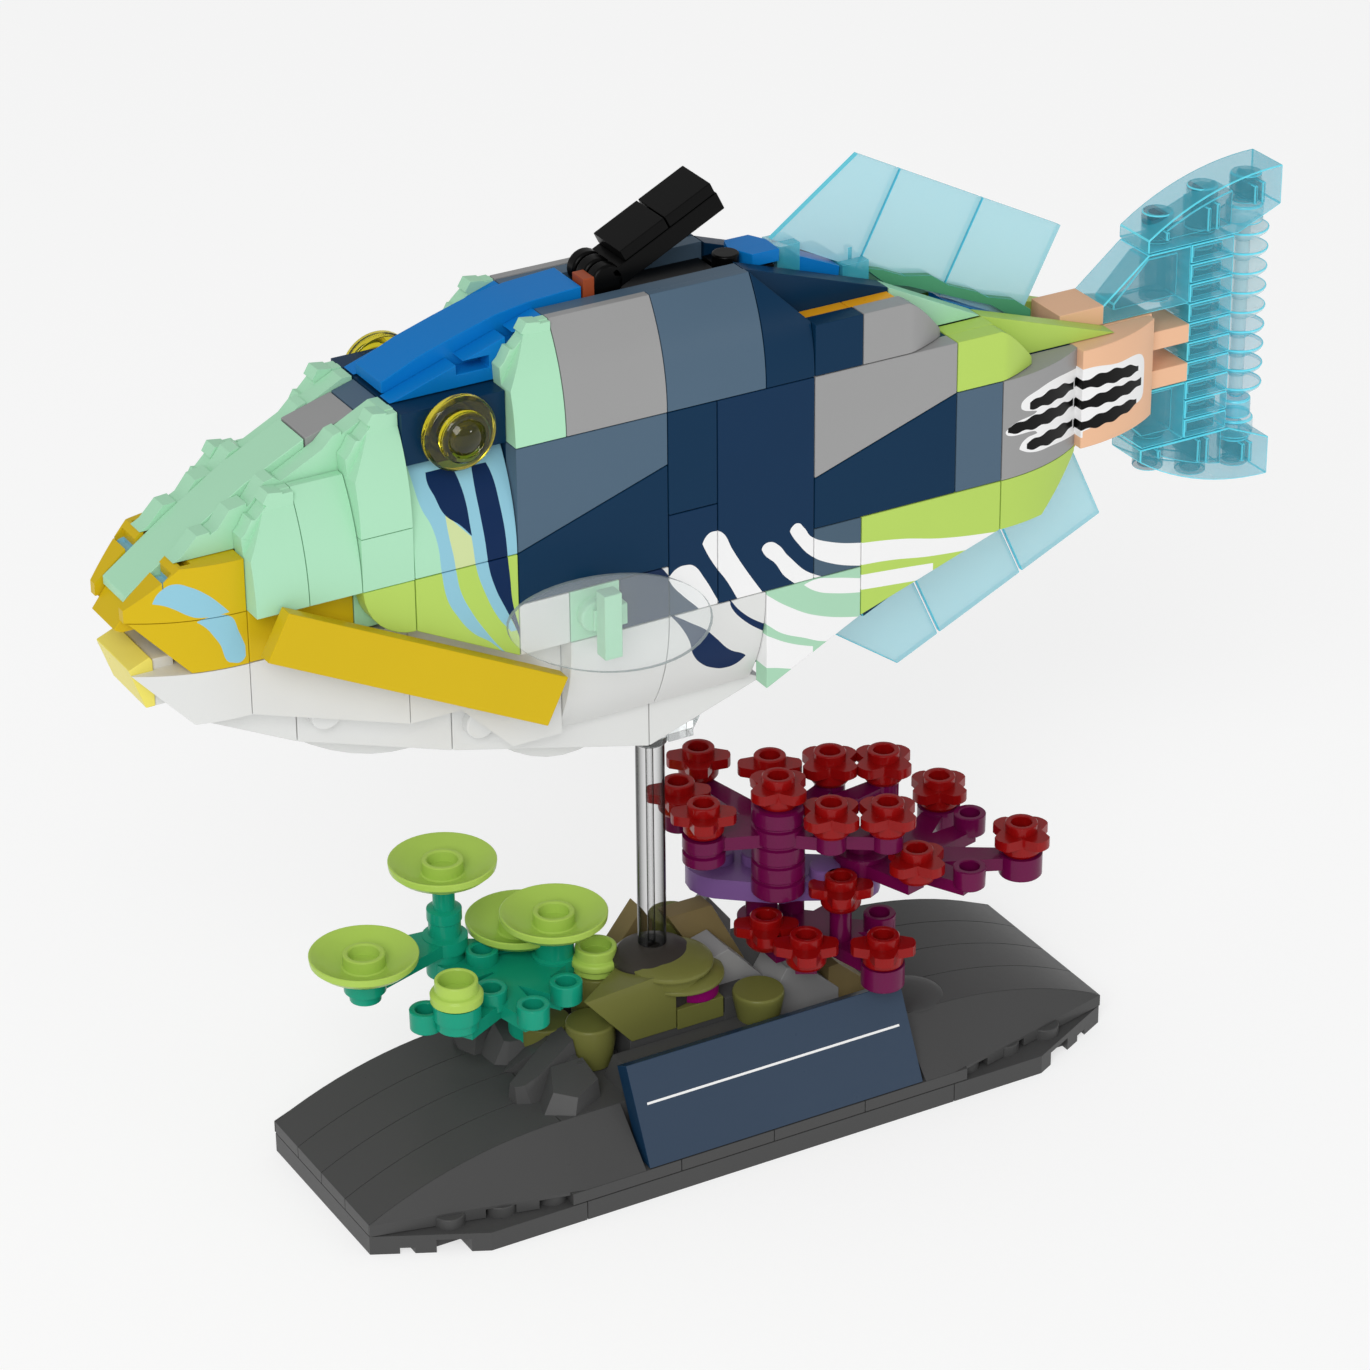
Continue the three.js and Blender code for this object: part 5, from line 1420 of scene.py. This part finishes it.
def leaf_place(a, b):
    """A place on the plant's own turned grid."""
    c, s = math.cos(0.4226), math.sin(0.4226)
    return (-27.2 + STUD * (a * c - b * s), 4.1 + STUD * (a * s + b * c))


def small_cup(material):
    return turned(
        [(2.1, -3.5), (2.45, -3.2), (2.5, -0.15), (2.35, 0), (1.75, 0), (1.6, -0.15), (1.6, -2.4)],
        0, 0, material, 24)


def shallow_dish(material):
    return turned(
        [(2.9, -4.6), (3, -4.5), (3, -3.7), (5.2, -3.1), (7.2, -2), (8.15, -1.1), (8.25, -0.15),
         (8.1, 0), (7.7, -0.2), (6.4, -1.15), (4.9, -1.85), (3.4, -2.2), (3.2, -2), (3.2, -0.15),
         (3.05, 0), (2.55, 0), (2.35, -0.2), (2.35, -1.8)], 0, 0, material, 48)


class TRIGGERFISH_OT_plant(Build):
    """Teal plant with flat branches, small cups and lime dishes"""
    bl_idname = "triggerfish.plant"
    bl_label = "Plant"

    def build(self):
        low, high = 23.4, 25.8
        hub = leaf_place(0, 0)
        ends = [(-34.6, 15.5), (-51.1, 9.3), (-22.5, 14.5)]
        cups = [leaf_place(*at) for at in ((0, -1), (-1, -1), (0, 1), (1, 0), (-1, 0))]
        pieces = [turned([(2.6, 13.1), (2.6, 22.6), (3.4, 23), (3.4, 23.6)], *hub, "teal", 28)]
        leaf = prism("xy", [(-37, 13.4), (-33.4, 3.4), (-29.4, 2.4), (-24, 2), (-17.6, 5), (-17.6, 9),
                            (-23, 14.4), (-30, 18.6), (-35.6, 18.4)], low, high, "teal")
        fused([leaf] + [arm(start, end, wide, narrow, low, high, "teal") for start, end, wide, narrow in (
            ((-25, 10), ends[2], 5, 4.2),
            (leaf_place(-0.6, 0.2), leaf_place(-2, 0), 7, 5),
            (leaf_place(0, 0.4), cups[0], 6.4, 3), (leaf_place(-0.5, 0.4), cups[1], 6.4, 3))])
        for start, end in (((-28.6, 12.1), (-23.3, 11.1)), ((-34.5, 6.7), (-30.7, 7.4))):
            combined(leaf, arm(start, end, 1.2, 0.5, low - 1, high + 1, "teal"))
        pieces.append(leaf)
        pieces.append(fused([
            arm(ends[0], ends[1], 4.4, 3, 27.5, 29.5, "teal"),
            arm(ends[0], (-48, 17.5), 4.4, 3, 27.5, 29.5, "teal")]))
        x, y = leaf_place(-2, 0)
        pieces += spread(small_cup("teal"), [(*cup, 27.9) for cup in cups] + [(x - 3.6, y + 3.2, 27.6)])
        for place, steps in (
                (ends[0], [(3, 23), (3, 27.2), (3.5, 27.4), (3.5, 29.6), (2.5, 29.8), (2.5, 32.2),
                           (2.7, 32.4), (2.7, 34.2), (1.7, 34.4), (1.7, 38.2)]),
                (ends[1], [(2.4, 26.6), (2.5, 28), (3.2, 28.2), (3.2, 30)]),
                ((-20.3, 7.2), [(3.4, 23), (3.5, 26.2), (3, 26.4), (3, 29.2)]),
                (ends[2], [(2.9, 23), (2.9, 25.2)])):
            pieces.append(turned(steps, *place, "teal", 28))
        pieces += spread(shallow_dish("dish_lime"), (
            (*ends[0], 42.7), (*ends[1], 34.5), (-20.3, 7.2, 33.7), (*ends[2], 29.6)))
        pieces += [
            turned([(3, 25), (3.2, 25.2), (3.2, 26.6), (3.6, 26.8), (3.6, 29.3)], x, y, "teal", 32),
            turned([(3.4, 29.4), (3.95, 29.7), (4, 30.9), (3.7, 31.3), (3.3, 31.4), (3.25, 33.1),
                    (3.1, 33.3), (2.85, 33.3), (2.7, 33.1), (2.7, 30.8)], x, y, "dish_lime", 36),
        ]
        finished(joined(pieces), "plant_leaves", ["stand_plant"], 0.1)


def flower(material):
    """A small flower: a cup with four round petals, its top at height 0."""
    cup = turned(
        [(2.1, -5.4), (2.7, -5.2), (3.1, -4.6), (3.2, -3.4), (3.1, -2.6), (2.7, -1.8), (2.5, -1.5),
         (2.5, -0.15), (2.35, 0), (1.75, 0), (1.6, -0.15), (1.6, -2.2)], 0, 0, material, 32)
    petal = prism(
        "xy", [(1.4, -2.5), (2.7, -2.05), (3.7, -1.9), (4.45, -1.5), (4.85, -0.8), (4.95, 0), (4.85, 0.8),
               (4.45, 1.5), (3.7, 1.9), (2.7, 2.05), (1.4, 2.5)], -3.1, -1.5, material)
    petals = [petal] + [copied(petal, turn=math.pi / 2 * k) for k in (1, 2, 3)]
    return fused([cup] + petals)


class TRIGGERFISH_OT_coral(Build):
    """Magenta coral branches with red flowers"""
    bl_idname = "triggerfish.coral"
    bl_label = "Coral"

    def build(self):
        trunk, second = (12.4, -3.9), (26.4, -5.3)
        open_upper = [(9.4, 15.1), (17.5, 7.3), (1.4, 7.2), (1.3, -0.7)]
        turned_upper = [(26.1, 3.8), (33.4, 0), (17.9, -10.2), (25.4, -14.2)]
        lower = [(9.9, -4.6), (12.2, -12.6), (22.2, -18.5)]
        right = [(44.2, 1), (47.2, -17.7), (29.2, -16.5)]
        right_cups = [(44.9, -6.8), (36, -20.7), second]
        bloom = flower("red")
        blooms = []
        for turn, places in (
                (-29.3, [(*at, 50) for at in open_upper] + [(*at, 30) for at in lower] + [(20.4, -9.1, 36)]),
                (15.7, [(*trunk, 53.2)] + [(*at, 50) for at in turned_upper] + [(*at, 42) for at in right])):
            blooms += [copied(bloom, place, math.radians(turn)) for place in places]
        bpy.data.objects.remove(bloom)
        finished(joined(blooms), "coral_flowers", (), 0.1)
        steps = [(3.4, 32.9)]
        for k in range(5):
            z = 33 + 3.1 * k
            steps += [(3.8, z + 0.1), (4.1, z + 0.4), (4.1, z + 2.7), (3.8, z + 3)]
        pieces = [
            turned(steps, *trunk, "magenta", 40),
            turned([(3.8, 34.1), (4.4, 34.3), (4.4, 37.2), (4.2, 37.4)], *second, "magenta", 36),
            turned([(2.6, 22.9), (3.9, 23.1), (3.9, 25.3), (3.7, 25.5)], 13.4, 2.6, "magenta", 32),
            turned([(2.4, 25.4), (2.4, 27.4)], 12.7, 1.6, "magenta", 28),
            turned([(2, 25), (2, 31)], 18.4, 2.2, "magenta", 20),
            turned([(1.7, 25), (1.7, 30.8)], 20.4, -9.1, "magenta", 20),
            turned([(3.1, 40), (3.3, 40.2), (3.3, 41.7), (2.9, 42), (2.9, 42.3), (3.3, 42.6), (3.3, 44.6)],
                   1.3, -0.7, "magenta", 32),
        ]
        low_arms = [arm(*ends, 22.9, 25.1, "magenta") for ends in (
            ((9.9, -4.6), (22, -4.6), 6, 6), ((19, -3), (13.4, 2.6), 7, 6),
            ((19, -4), (27.3, -9.2), 5.2, 3.2), ((20, -4), (22.2, -18.5), 6.4, 3.6),
            ((17, -4), (12.2, -12.6), 5, 3.2), ((20, -3), (26.2, -0.2), 5, 3.4))]
        high_arms = [arm(trunk, end, 5, 2.8, 42.2, 44.4, "magenta") for end in open_upper + turned_upper]
        right_arms = [arm(*ends, 34.4, 36.5, "magenta") for ends in (
            (second, (32, -9), 8, 7), ((31, -9), (44.2, 1), 5.5, 3),
            ((31, -9), (44.9, -6.8), 5.5, 3), ((31, -9), (36, -20.7), 5.5, 3),
            ((31, -9), (47.2, -17.7), 5.5, 3), (second, (29.2, -16.5), 6, 3.4))]
        pieces += [fused(low_arms), fused(high_arms), fused(right_arms)]
        pieces += spread(
            small_cup("magenta"), [(*at, 39) for at in right_cups] + [(27.3, -9.2, 27.6), (12.7, 1.6, 29.9)])
        pieces += spread(
            turned([(3.2, -3.5), (3.35, -3.3), (3.35, 0.2)], 0, 0, "magenta", 32),
            [(*right[0], 36.6), (*right[1], 36.6), (*lower[2], 24.9)])
        pieces += spread(
            turned([(2.3, -0.8), (2.4, -0.7), (2.4, 2)], 0, 0, "magenta", 24),
            [(*at, 42.8) for at in open_upper + turned_upper])
        pieces += [
            rounded_slab((8.7, 6.6), (15, 0.6), 5.8, 5.2, 30.8, 34.2, "violet"),
            rounded_slab((17.4, -0.8), (25, -5.4), 4.4, 4, 30.8, 34.1, "violet"),
        ]
        for x, y in ((13.2, 4), (20, -5), (8.4, 7.2)):
            pieces.append(turned([(2.4, 34), (2.4, 35.8), (2.2, 36)], x, y, "violet", 24))
        finished(joined(pieces), "coral_branches", ["stand_coral"], 0.12)


class TRIGGERFISH_OT_stage(Build):
    """Pale floor, soft studio light and the camera"""
    bl_idname = "triggerfish.stage"
    bl_label = "Stage"

    def build(self):
        look = bpy.context.scene.triggerfish_colours
        deselect()
        bpy.ops.mesh.primitive_plane_add(size=12, location=(0, 0, 0))
        floor = bpy.context.object
        floor.name = "studio_floor"
        finish = Finish("studio_floor")
        finish.put(Base_Color=finish.clouded(look.floor, 2, 0.42, 0.418))
        finish.put(Roughness=0.9, Specular_IOR_Level=0)
        finish.put(Emission_Color=finish.clouded(look.floor, 2, 1, 0.995), Emission_Strength=0.68)
        FINISHES["studio_floor"] = finish.material
        paint(floor, "studio_floor")
        world = bpy.data.worlds.new("studio")
        bpy.context.scene.world = world
        world.use_nodes = True
        sky = world.node_tree.nodes["Background"].inputs
        sky["Color"].default_value = (1, 1, 1, 1)
        sky["Strength"].default_value = 0.5
        for name, place, size, power in (
                ("key", (-1.15, -1.5, 1.35), 1.2, 24),
                ("strip", (0.9, -1.5, 0.35), 0.16, 0.9)):
            bpy.ops.object.light_add(type="AREA", location=place)
            lamp = bpy.context.object
            lamp.name = name + "_light"
            lamp.data.size = size
            lamp.data.energy = power
            way = Vector((0, 0, 0.08)) - Vector(place)
            lamp.rotation_euler = way.to_track_quat("-Z", "Y").to_euler()
        data = bpy.data.cameras.new("camera")
        camera = bpy.data.objects.new("camera", data)
        bpy.context.scene.collection.objects.link(camera)
        data.lens = 126.81
        data.sensor_width = 36
        data.clip_end = 50
        yaw, pitch, roll = math.radians(29.325), math.radians(27.815), math.radians(-0.476)
        forward = Vector((
            math.sin(yaw) * math.cos(pitch), math.cos(yaw) * math.cos(pitch), -math.sin(pitch)))
        right = Vector((math.cos(yaw), -math.sin(yaw), 0))
        up = right.cross(forward)
        side = right * math.cos(roll) + up * math.sin(roll)
        top = up * math.cos(roll) - right * math.sin(roll)
        turn = Matrix((side, top, -forward)).transposed().to_4x4()
        camera.matrix_world = Matrix.Translation((-0.310058, -0.549590, 0.402862)) @ turn
        bpy.context.scene.camera = camera
        bpy.context.scene.view_settings.view_transform = "Standard"


# Values a user would change

class TriggerfishBricks(bpy.types.PropertyGroup):
    seam: FloatProperty(
        name="Seam", description="Gap between two neighbouring bricks, in millimetres",
        default=0.14, min=0.02, max=0.6)


class TriggerfishColours(bpy.types.PropertyGroup):
    floor: FloatVectorProperty(
        name="Floor", description="Colour of the studio floor", subtype="COLOR", size=3,
        default=(0.95, 0.95, 0.95), min=0, max=1)


PIECES = (
    TRIGGERFISH_OT_cheeks, TRIGGERFISH_OT_lips, TRIGGERFISH_OT_faces, TRIGGERFISH_OT_eyes,
    TRIGGERFISH_OT_back, TRIGGERFISH_OT_rear_back, TRIGGERFISH_OT_flanks, TRIGGERFISH_OT_stalk,
    TRIGGERFISH_OT_belly, TRIGGERFISH_OT_bars, TRIGGERFISH_OT_snout, TRIGGERFISH_OT_spine,
    TRIGGERFISH_OT_fins, TRIGGERFISH_OT_tail, TRIGGERFISH_OT_pectorals,
    TRIGGERFISH_OT_base, TRIGGERFISH_OT_plaque, TRIGGERFISH_OT_rod, TRIGGERFISH_OT_hill,
    TRIGGERFISH_OT_rocks, TRIGGERFISH_OT_plant, TRIGGERFISH_OT_coral, TRIGGERFISH_OT_stage,
)


class TRIGGERFISH_PT_panel(bpy.types.Panel):
    """Lists the pieces of the model"""
    bl_idname = "TRIGGERFISH_PT_panel"
    bl_label = "Brick triggerfish"
    bl_space_type = "VIEW_3D"
    bl_region_type = "UI"
    bl_category = "Triggerfish"

    def draw(self, context):
        self.layout.prop(context.scene.triggerfish_bricks, "seam")
        self.layout.prop(context.scene.triggerfish_colours, "floor")
        for piece in PIECES:
            self.layout.operator(piece.bl_idname)


CLASSES = (TriggerfishBricks, TriggerfishColours, *PIECES, TRIGGERFISH_PT_panel)


def register():
    for item in CLASSES:
        bpy.utils.register_class(item)
    bpy.types.Scene.triggerfish_bricks = PointerProperty(type=TriggerfishBricks)
    bpy.types.Scene.triggerfish_colours = PointerProperty(type=TriggerfishColours)


def unregister():
    del bpy.types.Scene.triggerfish_colours
    del bpy.types.Scene.triggerfish_bricks
    for item in reversed(CLASSES):
        bpy.utils.unregister_class(item)


def main():
    register()
    make_finishes()
    paint(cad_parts["body_core"], "navy")
    for piece in PIECES:
        group, _, name = piece.bl_idname.partition(".")
        getattr(getattr(bpy.ops, group), name)()


if __name__ == "__main__":
    main()
